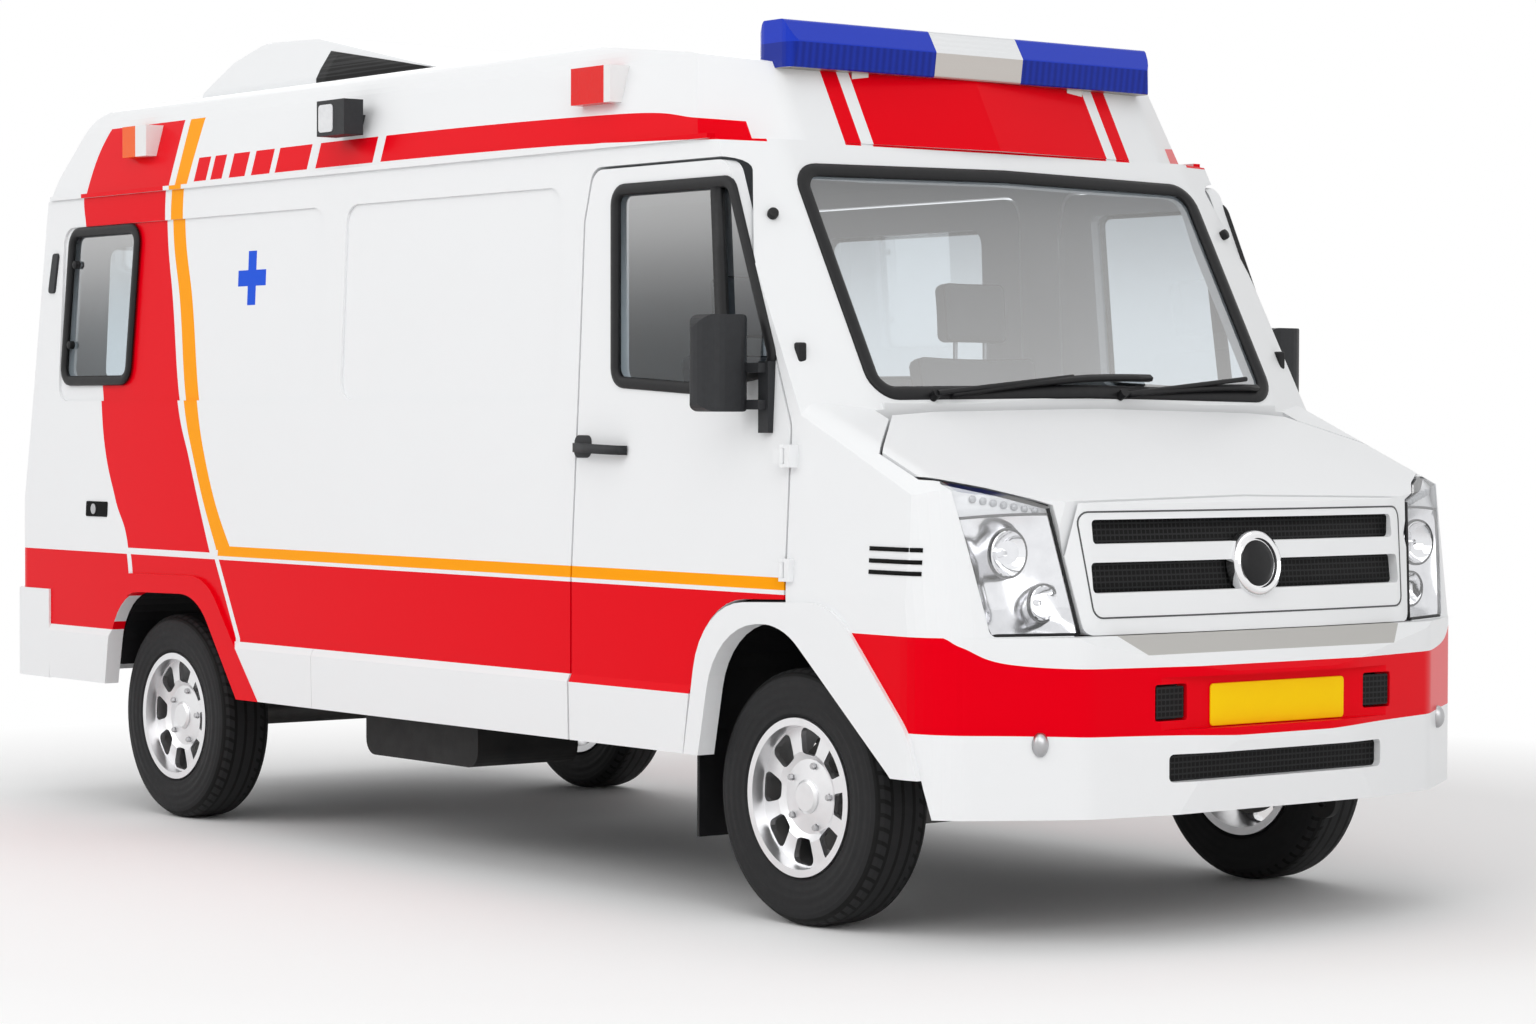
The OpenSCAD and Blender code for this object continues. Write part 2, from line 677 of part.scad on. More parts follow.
// Cab doors, hinged at their front edge, with a window and the skirt below
door_knee_z = 1330;
door_top_front_x = 1462;
function door_outline(g) = rounded([
    [door_rear_x - g, skirt_low_z - g, 0],
    [door_rear_x - g, 1905, 60],
    [door_rear_x + 34 - g, door_top_z + g, 50],
    [door_top_front_x + g, door_top_z + g, 60],
    [door_front_x + g, door_knee_z, 90],
    [door_front_x + g, skirt_low_z - g, 0]]);
door_window = [
    [953, 1984, 35], [985, 1455, 40], [1330, 1436, 60], [1640, 1475, 60], [1690, 1500, 30], [1478, 1984, 40]];
module door() {
    difference() {
        for (z = door_hinge_z) translate([door_hinge_x, body_half_w, z]) hinge_moving(hinge_sink);
        end_prism(concat(side_half(0), [[0, gutter_z], [0, skirt_low_z]]), 1000, 2000);
    }
    difference() {
        union() {
            intersection() {
                side_layer(0, wall_t, door_rear_x, door_front_x);
                side_prism(door_outline(0), 0, far);
            }
            skirt(door_rear_x, door_front_x);
        }
        side_prism(rounded(door_window), 0, far);
        side_prism(front_arch(flare_w + shut_gap), 0, far);
    }
}
module door_pane() { pane(door_window, door_rear_x, door_front_x); }
module door_left() { color("white") door(); }
module door_right() { color("white") right() door(); }
module door_left_glass() { color("slategray") door_pane(); }
module door_right_glass() { color("slategray") right() door_pane(); }

// Door mirrors: a rounded housing on a two-armed bracket
mirror_x = 1600;
mirror_in_y = 985;
mirror_out_y = 1140;
mirror_low_z = 1366;
mirror_high_z = 1624;
mirror_depth = 84;
mirror_r = 34;
mirror_foot_x = mirror_x + 78;
module door_mirror() {
    intersection() {
        end_prism(rounded([
            [mirror_in_y, mirror_low_z, mirror_r], [mirror_out_y, mirror_low_z, mirror_r],
            [mirror_out_y, mirror_high_z, mirror_r], [mirror_in_y, mirror_high_z, mirror_r]]),
                mirror_x - far, far);
        plan_prism(rounded([
            [mirror_x - mirror_depth / 2, mirror_in_y, 14], [mirror_x + mirror_depth / 2, mirror_in_y, 40],
            [mirror_x + mirror_depth / 2, mirror_out_y, 60], [mirror_x - mirror_depth / 2, mirror_out_y,
                14]]), 0, far);
    }
    block(mirror_foot_x - 18, mirror_foot_x + 24, gutter_half_w, waist_half_w + 22, 1310, 1500);
    for (z = [1372, 1470]) mirror_arm(z);
}
module mirror_arm(z) {
    block(mirror_x + mirror_depth / 2 - 20, mirror_foot_x + 10, mirror_in_y - 8, mirror_in_y + 22, z, z + 26);
    block(mirror_foot_x - 14, mirror_foot_x + 14, waist_half_w + 4, mirror_in_y + 22, z, z + 26);
}
module mirror_left() { color("dimgray") mirror_seat() door_mirror(); }
module mirror_right() { color("dimgray") right() mirror_seat() door_mirror(); }
module mirror_seat() {
    difference() {
        children();
        end_prism(concat(side_half(0), [[0, gutter_z], [0, skirt_low_z]]), 1000, 2000);
    }
}

// Skirts along the sills: plain panels with a chamfered upper edge
skirt_in = 45;
module skirt(x0, x1) {
    w = body_half_w + skirt_proud;
    end_prism([
        [body_half_w - skirt_in, skirt_low_z], [w - 4, skirt_low_z], [w, skirt_top_z - 22],
        [body_half_w, skirt_top_z], [body_half_w - skirt_in, skirt_top_z]], x0, x1);
}
rear_bumper_x = -2355;
skirt_split_x = -591;
skirt_rows = [[rear_bumper_x + 1, skirt_split_x - 1], [skirt_split_x + 1, wall_front_x]];
module skirts() {
    color("white") both() difference() {
        for (row = skirt_rows) skirt(row[0], row[1]);
        rear_arch_cut();
    }
}
// Arch flares; the rear one ends above the rear skirt
flare_in = 45;
rear_flare_x = rear_axle_x - 185;
module rear_flare(y0, y1) {
    intersection() {
        side_prism(rear_arch(flare_w), y0, y1);
        block(rear_flare_x, far, y0, y1, skirt_low_z, far);
    }
}
module rear_arch_cut() {
    side_prism(rear_arch(0), 0, far);
    rear_flare(0, far);
}
module arch_flares() {
    color("white") both() {
        difference() {
            plan_prism(bumper_plan(-skirt_proud), skirt_low_z, front_arch_z + 200);
            plan_prism(bumper_plan(flare_in), 0, far);
            side_prism(front_arch(0), 0, far);
            block(0, far, -far, 0, 0, far);
            front_flare_outside();
        }
        difference() {
            rear_flare(body_half_w - flare_in, body_half_w + skirt_proud);
            side_prism(rear_arch(0), 0, far);
        }
    }
}
// All that lies outside the front flare's outline
module front_flare_outside() {
    difference() {
        block(0, far, 0, far, 0, far);
        side_prism(front_arch(flare_w), 0, far);
    }
}
flap_x = front_arch_rear_x - 80;
flap_t = 10;
module mud_flaps() {
    color("black") both()
        block(flap_x, flap_x + flap_t, 690, floor_half_w - 20, 200, floor_z - floor_t);
}

// Nose: plan outline that leans back, the fall of the bonnet and the rounded shoulders of the fenders
nose_side_y = body_half_w + 3;
nose_lean = 7.3;
function nose_plan(x, t) = mirrored_y(rounded([
    [1200, nose_side_y - t, 0], [x - 171 - t, nose_side_y - t, 200],
    [x - 21 - t, 580 - t, 140], [x - t, 230, 900], [x - t, 0, 0]], 8));
nose_low_z = 797;
module nose_slope(t) {
    intersection() {
        translate([nose_x, 0, nose_low_z]) rotate([0, -nose_lean, 0]) translate([-nose_x, 0, -500])
            linear_extrude(1600) polygon(nose_plan(nose_x, t));
        translate([bonnet_rear_x, 0, bonnet_rear_z]) rotate([0, bonnet_fall, 0])
            end_prism(mirrored(rounded([
                [nose_side_y + 14 - t, -900, 0], [nose_side_y - 7 - t, -80 - t, 50],
                [930 - t, -30 - t, 90], [600, -10 - t, 400], [0, -t, 0]], 6)), -600, 900);
        block(1500, far, -far, far, nose_low_z, 1600);
    }
}
module nose_block(t) {
    intersection() {
        nose_slope(t);
        end_prism(mirrored(side_half(t)), 1500, 2700);
    }
}
// Line along the top of the fenders in the side view, and all below it
fender_line = [[1500, 1312], [2142, 1260], [2330, 1196], [2700, 1010]];
module fender_zone() { side_prism(concat([[1500, 0]], fender_line, [[2700, 0]]), 0, far); }
// Room of the bonnet, grown by g: it reaches the shoulders of the fenders, the lamps and the cowl sides
bonnet_t = 14;
bonnet_corner_x = 2111;
bonnet_side_y = 930;
bonnet_lip_y = 668;
// How far the bonnet's edge beside the lamps leans towards the middle
bonnet_lip_lean = 24;
function bonnet_plan(g) = mirrored_y([
    [bonnet_front_x + 1.5 * g, bonnet_lip_y - g], [far, bonnet_lip_y - g], [far, bonnet_side_y + g],
    [bonnet_corner_x - 0.43 * g, bonnet_side_y + g], [bonnet_rear_x - g, bonnet_half_w],
        [bonnet_rear_x - g, 0]]);
module bonnet_zone(g) {
    rise = shut_gap - g;
    lip_y = bonnet_lip_y - rise;
    intersection() {
        plan_prism(bonnet_plan(g), 1000, 1700);
        end_prism(mirrored([
            [0, 1000], [lip_y - bonnet_lip_lean, 1000], [lip_y, 1122 + rise], [800, 1166 + rise],
            [914, 1192 + rise], [1010, 1200 + rise], [1010, 1700], [0, 1700]]), 1500, 2700);
    }
}
module bonnet() {
    color("white") {
        difference() {
            intersection() {
                nose_block(0);
                bonnet_zone(0);
            }
            nose_block(bonnet_t);
        }
        both() bonnet_ears();
    }
}
lamp_face = [[612, 799, 12], [846, 799, 20], [872, 950, 60], [914, 1192, 10], [800, 1168, 60], [668, 1126, 8]];
grille_face = [[606, 799, 30], [664, 1126, 8], [664, 1200, 0], [-664, 1200, 0], [-664, 1126, 8], [-606,
    799, 30]];
grille_room = [[620, 700], [676, 1126], [676, 1300], [-676, 1300], [-676, 1126], [-620, 700]];
module fenders() {
    color("white") both() difference() {
        intersection() {
            nose_block(0);
            fender_zone();
        }
        nose_block(nose_t);
        bonnet_zone(shut_gap);
        block(0, door_front_x + shut_gap, -far, far, 0, far);
        side_prism(front_arch(flare_w), 0, far);
        end_prism(rounded(lamp_face), 2000, 2700);
        end_prism(grille_room, 1900, 2700);
    }
}
module headlamps() {
    color("lightgray") both() difference() {
        intersection() {
            nose_block(2);
            end_prism(rounded(lamp_face), 2000, 2700);
        }
        nose_block(90);
    }
}
slot_rows = [[1030, 62, 560], [905, 78, 572]];
module grille() {
    color("white") difference() {
        intersection() {
            difference() {
                nose_block(0);
                nose_block(nose_t);
            }
            end_prism(rounded(grille_face), 2300, 2700);
        }
        bonnet_zone(shut_gap);
        block(0, bonnet_front_x, -far, far, 0, far);
        for (row = slot_rows) end_prism(rounded([
            [-row[2], row[0], 12], [row[2], row[0], 12],
            [row[2], row[0] + row[1], 12], [-row[2], row[0] + row[1], 12]]), 2300, 2700);
    }
}

// Front bumper: wrap-round plan, lip, plate recess, vents and lower intake
bumper_low_z = 337;
bumper_t = 50;
plate_z = 618;
plate_bolt_y = 150;
plate_bolt_r = 4;
function bumper_plan(t) = mirrored_y(rounded([
    [1200, body_half_w - t, 0], [2360 - t, body_half_w - t, 200],
    [bumper_x - 73 - t, 640 - t, 160], [bumper_x - t, 230, 900], [bumper_x - t, 0, 0]], 8));
module bumper_block(t) {
    intersection() {
        plan_prism(bumper_plan(t), bumper_low_z, nose_low_z);
        side_prism([
            [1900, nose_low_z], [nose_x + 6 - t, nose_low_z], [bumper_x - 22 - t, 728], [bumper_x - t, 700],
            [bumper_x - t, 520], [bumper_x - 24 - t, bumper_low_z], [1900, bumper_low_z]], -far, far);
    }
}
module front_bumper() {
    color("white") difference() {
        bumper_block(0);
        bumper_block(bumper_t);
        both() side_prism(front_arch(flare_w), 0, far);
        end_prism(rounded([[-396, 420, 14], [396, 420, 14], [396, 492, 14], [-396, 492, 14]]), 2400, 2800);
        end_prism(rounded([[-500, 555, 24], [500, 555, 24], [500, 690, 24], [-500, 690, 24]]),
            bumper_x - 34, 2800);
        both() end_prism(rounded([[330, 578, 8], [440, 578, 8], [440, 672, 8], [330, 672, 8]]), 2400, 2800);
        both() bar_x(plate_bolt_y, plate_z, plate_bolt_r, 2400, 2800);
    }
}
rear_bumper_z = 744;
rear_bumper_reach = bumper_x + rear_x;
module rear_bumper() {
    color("white") difference() {
        rear_bumper_block(0);
        rear_bumper_block(40);
        block(-far, far, -rear_door_half_w - 28, rear_door_half_w + 28, 612, far);
        body_block(-0.5);
    }
}
module rear_bumper_block(t) {
    plan_prism(rounded([
        [rear_x - rear_bumper_reach + t, -body_half_w - 8 + t, 90], [rear_bumper_x, -body_half_w - 8 + t, 0],
        [rear_bumper_x, body_half_w + 8 - t, 0], [rear_x - rear_bumper_reach + t, body_half_w + 8 - t, 90]]),
        433, rear_bumper_z - t);
}

// Roof light bar on two feet, and the air unit behind
bar_x0 = 1352;
bar_low_z = 2316;
bar_ridge = 72;
bar_high_z = 2450;
module light_bar() {
    color("mediumblue") {
        difference() {
            intersection() {
                side_prism(rounded([
                    [bar_x0 - 74, bar_low_z, 8], [bar_x0 + 74, bar_low_z, 8], [bar_x0 + 84,
                        bar_low_z + bar_ridge, 8],
                    [bar_x0 + 46, bar_high_z, 14], [bar_x0 - 46, bar_high_z, 14],
                    [bar_x0 - 84, bar_low_z + bar_ridge, 8]], 4), -bar_half_w, bar_half_w);
                plan_prism(rounded([
                    [bar_x0 - 90, -bar_half_w, 50], [bar_x0 + 90, -bar_half_w, 50],
                    [bar_x0 + 90, bar_half_w, 50], [bar_x0 - 90, bar_half_w, 50]]), bar_low_z, bar_high_z);
            }
            roof_block(0);
        }
        both() difference() {
            block(bar_x0 - 30, bar_x0 + 40, 380, 440, 2250, bar_low_z);
            roof_block(0);
        }
    }
}
pod_profile = [
    [-2100, 2440, 0], [-1960, 2590, 40], [-1800, pod_z, 120], [-1430, 2634, 120], [-400, 2440, 0]];
module roof_pod() {
    color("white") difference() {
        intersection() {
            side_prism(rounded(pod_profile), -far, far);
            end_prism(rounded([
                [-pod_half_w, 2400, 0], [pod_half_w, 2400, 0], [pod_half_w, 2490, 30],
                [pod_half_w - 110, 2660, 60], [-pod_half_w + 110, 2660, 60], [-pod_half_w, 2490, 30]]),
                    -2200, 0);
        }
        roof_block(0);
    }
}
// Marker lamps and a flood lamp on the roof's sides: place, length, height
lamp_rows = [[725, 190, 2240, 105], [-1930, 165, 2235, 105]];
module side_lamps() {
    color("red") both() difference() {
        for (row = lamp_rows) block(row[0], row[0] + row[1], 780, 930, row[2], row[2] + row[3]);
        roof_block(0);
    }
}
module flood_lamps() {
    color("black") both() difference() {
        union() {
            block(-570, -410, 915, 985, 2225, 2335);
            block(-520, -460, 800, 920, 2262, 2292);
        }
        roof_block(0);
    }
}

// Cab inside: dashboard with the column shroud, steering wheel and seats
driver_y = 430;
column_tilt = 58;
wheel_at = [1430, -driver_y, 1260];
shaft_len = 140;
module column() { translate(wheel_at) rotate([0, 180 - column_tilt, 0]) children(); }
module dashboard() {
    color("dimgray") {
        side_prism(rounded([
            [firewall_x, 880, 0], [firewall_x, 1296, 0], [1640, 1262, 50],
            [1525, 1140, 60], [1600, 880, 40]]), -floor_half_w + 40, floor_half_w - 40);
        column() translate([0, 0, shaft_len + seat_gap]) cylinder(r = 42, h = 120);
    }
}
module steering_wheel() {
    color("black") column() {
        rotate_extrude($fn = 48) translate([185, 0]) circle(r = 14, $fn = 24);
        cylinder(r = 20, h = shaft_len);
        translate([0, 0, -12]) cylinder(r = 48, h = 36);
        for (a = [90, 210, 330]) rotate([0, 0, a]) translate([30, -16, -6]) cube([150, 32, 14]);
    }
}
seat_half_w = 245;
seat_z = 880;
module seat_bases() {
    color("dimgray") both() block(960, 1330, driver_y - 200, driver_y + 200, floor_z, seat_z);
}
// Seat cushion and back rest with a head rest, one closed outline
module seat() {
    side_prism(rounded([
        [1410, seat_z + seat_gap, 40], [1410, 1010, 50], [1070, 1020, 30], [960, 1560, 50],
        [860, 1550, 50], [960, seat_z + seat_gap, 40]], 4), driver_y - seat_half_w, driver_y + seat_half_w);
    side_prism(rounded([[962, 1575, 25], [945, 1770, 35], [865, 1765, 35], [880, 1570, 25]], 4),
        driver_y - 130, driver_y + 130);
    for (y = [-60, 60]) translate([910, driver_y + y, 1540]) cylinder(r = 7, h = 60);
}
module seat_left() { color("dimgray") seat(); }
module seat_right() { color("dimgray") right() seat(); }

// Windscreen wipers: a pivot in the cowl strip and a blade along the foot of the glass
wiper_rows = [-560, 120];
wiper_len = 520;
screen_bow = 22 / 760;
module wipers() {
    color("black") for (y = wiper_rows)
        translate([screen_foot_x, 0, screen_foot_z]) rotate([0, -screen_rake, 0]) {
            translate([-screen_bow * abs(y) + seat_gap, y, cowl_w / 2]) rotate([0, 90,
                0]) cylinder(r = 13, h = 26);
            translate([10, y, cowl_w / 2]) rotate([-84, 0, 0]) cylinder(r = 7, h = wiper_len);
        }
}

// Barrel hinges: a fixed half with the pin, a moving half that turns on it.
// Drawn with the pin along Z, the fixed leaf towards +X and the skin at y = 0
hinge_pin_r = 5;
hinge_bore_r = hinge_pin_r + running_gap;
hinge_r = 9;
hinge_out = hinge_r + 1;
hinge_half_h = 30;
hinge_sleeve_h = 20;
hinge_leaf = 34;
hinge_sink = 30;
rear_hinge_sink = 6;
module hinge_fixed() {
    translate([0, hinge_out, -hinge_half_h]) cylinder(r = hinge_pin_r, h = 2 * hinge_half_h);
    for (z = [-hinge_half_h, hinge_sleeve_h + 0.5]) {
        translate([0, hinge_out, z]) cylinder(r = hinge_r, h = hinge_half_h - hinge_sleeve_h - 0.5);
        block(0, hinge_leaf, -hinge_sink, hinge_out + 4, z, z + hinge_half_h - hinge_sleeve_h - 0.5);
    }
    block(hinge_r + 5, hinge_leaf, -hinge_sink, hinge_out + 4, -hinge_half_h, hinge_half_h);
}
module hinge_moving(sink) {
    difference() {
        union() {
            translate([0, hinge_out, -hinge_sleeve_h]) cylinder(r = hinge_r, h = 2 * hinge_sleeve_h);
            block(-hinge_leaf, 0, 1 - sink, hinge_out + 4, -hinge_sleeve_h, hinge_sleeve_h);
        }
        translate([0, hinge_out, -hinge_half_h]) cylinder(r = hinge_bore_r, h = 2 * hinge_half_h);
    }
}
// Places of the hinges: cab doors by height, rear doors by distance up the leaning face
door_hinge_z = [950, 1250];
rear_hinge_z = [170, 1240];
door_hinge_x = door_front_x + shut_gap / 2;
module rear_plane(z) {
    translate([rear_x, 0, lean_foot_z]) rotate([0, rear_lean, 0])
        translate([0, rear_door_half_w + shut_gap / 2, z]) children();
}
bonnet_axis_x = bonnet_rear_x + 12;
bonnet_axis_z = bonnet_rear_z - 40;
bonnet_hinge_y = 300;
bonnet_ear_t = 10;
module hinges() {
    color("dimgray") both() {
        difference() {
            for (z = door_hinge_z) translate([door_hinge_x, body_half_w, z]) hinge_fixed();
            end_prism(concat(side_half(0), [[0, gutter_z], [0, skirt_low_z]]), 1000, 2000);
        }
        for (z = rear_hinge_z) rear_plane(z) rotate([0, 0, 90]) rear_leaf();
        bonnet_bracket();
    }
}
module rear_leaf() {
    difference() {
        hinge_fixed();
        block(-far, far, -far, 0, -far, far);
    }
}
module bonnet_bracket() {
    y0 = bonnet_hinge_y - bonnet_ear_t / 2;
    y1 = bonnet_hinge_y + bonnet_ear_t / 2;
    block(scuttle_x, bonnet_axis_x + hinge_r, y0, y1, bonnet_axis_z - 3 * hinge_r, bonnet_axis_z - hinge_r);
    block(bonnet_axis_x - hinge_r, bonnet_axis_x + hinge_r, y0, y1, bonnet_axis_z - 2 * hinge_r,
        bonnet_axis_z - 3);
    bar_y(bonnet_axis_x, bonnet_axis_z, hinge_r, y0, y1);
    bar_y(bonnet_axis_x, bonnet_axis_z, hinge_pin_r, y0 - bonnet_ear_t - 1, y1 + bonnet_ear_t + 1);
}
module bonnet_ears() {
    for (y = [bonnet_hinge_y - 1.5 * bonnet_ear_t - 0.5,
        bonnet_hinge_y + 0.5 * bonnet_ear_t + 0.5]) difference() {
        union() {
            bar_y(bonnet_axis_x, bonnet_axis_z, hinge_r, y, y + bonnet_ear_t);
            block(bonnet_axis_x - hinge_r, bonnet_axis_x + hinge_r, y, y + bonnet_ear_t, bonnet_axis_z,
                bonnet_rear_z - 16);
        }
        bar_y(bonnet_axis_x, bonnet_axis_z, hinge_bore_r, y - 1, y + bonnet_ear_t + 1);
    }
}

chassis_frame();
leaf_springs();
front_axle();
rear_axle();
engine();
radiator();
fuel_tank();
exhaust();
floor_pan();
wheel_liners();
side_wall_right();
side_wall_left();
sliding_door();
side_glass();
rear_frame();
roof();
cab_front();
windscreen();
fenders();
headlamps();
grille();
front_bumper();
rear_bumper();
skirts();
arch_flares();
mud_flaps();
light_bar();
roof_pod();
side_lamps();
flood_lamps();
dashboard();
steering_wheel();
seat_bases();
seat_left();
seat_right();
wipers();
bonnet();
hinges();
door_left();
door_left_glass();
mirror_left();
door_right();
door_right_glass();
mirror_right();
rear_door_left();
rear_door_left_glass();
rear_door_right();
rear_door_right_glass();
knuckle_left();
knuckle_right();
rim_front_left();
rim_front_right();
rim_rear_left();
rim_rear_right();
tyre_front_left();
tyre_front_right();
tyre_rear_left();
tyre_rear_right();
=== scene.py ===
import math

import bmesh
import bpy
from mathutils import Matrix, Vector
from mathutils.bvhtree import BVHTree


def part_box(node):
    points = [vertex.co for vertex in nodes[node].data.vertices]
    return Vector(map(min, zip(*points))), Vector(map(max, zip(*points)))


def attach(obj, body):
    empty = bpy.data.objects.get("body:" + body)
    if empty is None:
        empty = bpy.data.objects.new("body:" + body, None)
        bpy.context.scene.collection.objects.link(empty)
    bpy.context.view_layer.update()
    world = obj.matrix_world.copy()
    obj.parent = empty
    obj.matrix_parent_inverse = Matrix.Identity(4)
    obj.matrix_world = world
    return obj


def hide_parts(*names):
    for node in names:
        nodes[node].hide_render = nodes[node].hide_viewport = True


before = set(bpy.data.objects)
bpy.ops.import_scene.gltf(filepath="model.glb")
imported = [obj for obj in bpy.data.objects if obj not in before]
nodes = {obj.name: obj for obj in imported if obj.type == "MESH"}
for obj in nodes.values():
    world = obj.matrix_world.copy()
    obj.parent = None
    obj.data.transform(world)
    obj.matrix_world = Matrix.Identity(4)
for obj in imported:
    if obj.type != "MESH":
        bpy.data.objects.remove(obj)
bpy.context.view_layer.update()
ROOT = "vehicle"


class Value:
    """A number in a material's node tree, with arithmetic that adds nodes."""

    def __init__(self, tree, socket):
        self.tree = tree
        self.socket = socket

    def math(self, kind, *others):
        node = self.tree.nodes.new("ShaderNodeMath")
        node.operation = kind
        for slot, item in zip(node.inputs, (self, *others)):
            if isinstance(item, Value):
                self.tree.links.new(item.socket, slot)
            else:
                slot.default_value = item
        return Value(self.tree, node.outputs[0])

    def __add__(self, other):
        return self.math("ADD", other)

    def __sub__(self, other):
        return self.math("SUBTRACT", other)

    def __mul__(self, other):
        return self.math("MULTIPLY", other)

    def __truediv__(self, other):
        return self.math("DIVIDE", other)

    def __and__(self, other):
        return self.math("MULTIPLY", other)

    def __or__(self, other):
        return self.math("MAXIMUM", other)

    def __gt__(self, other):
        return self.math("GREATER_THAN", other)

    def __lt__(self, other):
        return self.math("LESS_THAN", other)

    def size(self):
        return self.math("ABSOLUTE")

    def clamp(self):
        return self.math("MAXIMUM", 0.0).math("MINIMUM", 1.0)

    def inside(self, low, high):
        return (self > low) & (self < high)


class Material:
    """A node material under construction: a principled shader fed by values and colours."""

    def __init__(self, name, **settings):
        self.data = bpy.data.materials.new(name)
        self.data.use_nodes = True
        self.tree = self.data.node_tree
        self.shader = self.tree.nodes["Principled BSDF"]
        for key, value in settings.items():
            self.shader.inputs[key.replace("_", " ")].default_value = value
        self.coords = self.tree.nodes.new("ShaderNodeTexCoord").outputs["Object"]
        split = self.tree.nodes.new("ShaderNodeSeparateXYZ")
        self.tree.links.new(self.coords, split.inputs[0])
        self.x, self.y, self.z = (Value(self.tree, split.outputs[i]) for i in range(3))

    def facing(self):
        """The surface's outward direction, as three values."""
        split = self.tree.nodes.new("ShaderNodeSeparateXYZ")
        self.tree.links.new(self.tree.nodes.new("ShaderNodeNewGeometry").outputs["Normal"], split.inputs[0])
        return (Value(self.tree, split.outputs[i]) for i in range(3))

    def link(self, source, target):
        socket = source.socket if isinstance(source, Value) else source
        self.tree.links.new(socket, self.shader.inputs[target])

    def noise(self, scale, detail=3.0):
        node = self.tree.nodes.new("ShaderNodeTexNoise")
        node.inputs["Scale"].default_value = scale
        node.inputs["Detail"].default_value = detail
        self.tree.links.new(self.coords, node.inputs["Vector"])
        return Value(self.tree, node.outputs[0])

    def curve(self, value, rows):
        """A smooth table: rows of (value in, value out), in rising order of the first."""
        ins = [r[0] for r in rows]
        outs = [r[1] for r in rows]
        low, high = min(outs), max(outs)
        span = max(high - low, 1e-6)
        node = self.tree.nodes.new("ShaderNodeFloatCurve")
        line = node.mapping.curves[0]
        places = [((a - ins[0]) / (ins[-1] - ins[0]), (b - low) / span) for a, b in rows]
        line.points[0].location = places[0]
        line.points[1].location = places[-1]
        for place in places[1:-1]:
            line.points.new(*place)
        node.mapping.update()
        scaled = ((value - ins[0]) / (ins[-1] - ins[0])).clamp()
        self.tree.links.new(scaled.socket, node.inputs["Value"])
        return Value(self.tree, node.outputs[0]) * span + low

    def mix(self, factor, first, second):
        node = self.tree.nodes.new("ShaderNodeMix")
        node.data_type = "RGBA"
        self.tree.links.new(factor.socket, node.inputs[0])
        for slot, item in ((node.inputs[6], first), (node.inputs[7], second)):
            if isinstance(item, tuple):
                slot.default_value = (*item, 1.0)
            else:
                self.tree.links.new(item, slot)
        return node.outputs[2]

    def vary(self, low, high, scale):
        """Roughness that drifts between two values."""
        self.link(self.noise(scale) * (high - low) + low, "Roughness")

    def paint(self, colour):
        """One colour for the surface and for its faint reflection."""
        self.link(colour, "Base Color")
        self.link(colour, "Specular Tint")

    def blend(self, share, first, second):
        """A mix of two shaders in place of the plain surface, by the second one's share."""
        node = self.tree.nodes.new("ShaderNodeMixShader")
        self.tree.links.new(share.socket, node.inputs[0])
        self.tree.links.new(first.outputs[0], node.inputs[1])
        self.tree.links.new(second.outputs[0], node.inputs[2])
        self.tree.links.new(node.outputs[0], self.tree.nodes["Material Output"].inputs["Surface"])

    def bump(self, height, strength, distance):
        node = self.tree.nodes.new("ShaderNodeBump")
        node.inputs["Strength"].default_value = strength
        node.inputs["Distance"].default_value = distance
        self.tree.links.new(height.socket, node.inputs["Height"])
        self.tree.links.new(node.outputs[0], self.shader.inputs["Normal"])


WHITE = (0.86, 0.87, 0.88)
WHITE_DULL = (0.85, 0.86, 0.87)
RED = (0.80, 0.0, 0.008)
ORANGE = (1.0, 0.36, 0.0)
BLUE = (0.01, 0.09, 0.70)
TRIM = (0.74, 0.75, 0.76)
# Grey of painted shade for the recess under the grille
RECESS_SHADE = (0.50, 0.49, 0.47)

# Livery lines on the sides: rows of (height, place along the body)
RED_REAR = [(0.742, -1.768), (0.899, -1.793), (1.068, -1.899), (1.267, -1.997), (1.462, -2.041),
            (2.012, -2.185), (2.126, -2.208), (2.347, -2.138)]
RED_FRONT = [(0.903, -1.241), (1.206, -1.402), (1.409, -1.500), (1.727, -1.566), (2.014, -1.626),
             (2.111, -1.628), (2.355, -1.621)]
ORANGE_REAR = [(0.921, -1.203), (1.206, -1.372), (1.408, -1.458), (1.726, -1.519), (2.012, -1.587),
               (2.109, -1.587), (2.352, -1.582)]
ORANGE_FRONT = [(0.930, -1.116), (1.207, -1.296), (1.408, -1.370), (1.724, -1.434), (2.009, -1.505),
                (2.105, -1.506), (2.346, -1.485)]
LOW_LINE = [(0.633, -1.059), (0.895, -1.201)]
LOW_LINE_HALF, REAR_LINE_HALF = 0.013, 0.014
SASH_LOW, SASH_TOP = 0.905, 2.350
SILL_LOW, SILL_TOP, SILL_FRONT = 0.60, 0.884, 1.776
BAND_LOW, BAND_TOP, BAND_REAR = 0.896, 0.929, -1.19
ORANGE_LOW = 0.915
SIDE_FROM = 0.80

# Dashes along the roof's edge: rows of (place along the body, height), and where each dash starts and ends
DASH_LOW = [(-1.5, 2.132), (0.36, 2.134), (1.056, 2.118), (1.639, 2.093)]
DASH_TOP = [(-1.5, 2.212), (0.89, 2.207), (1.275, 2.174), (1.639, 2.121)]
DASHES = [(-1.462, -1.382), (-1.353, -1.278), (-1.232, -1.130), (-1.090, -0.974), (-0.940, -0.742),
          (-0.691, -0.354), (-0.308, 1.622)]
LEFT_DASH_END = 1.50

# The blank sign over the windscreen, and the blue plus on the right side
SIGN_LOW, SIGN_TOP, SIGN_FROM = 2.104, 2.322, 1.34
SIGN_HALF = 0.445
SIGN_EDGE = (0.487, 0.542)
MARK = (-1.054, 1.800)
MARK_BAR, MARK_ARM = 0.026, 0.088
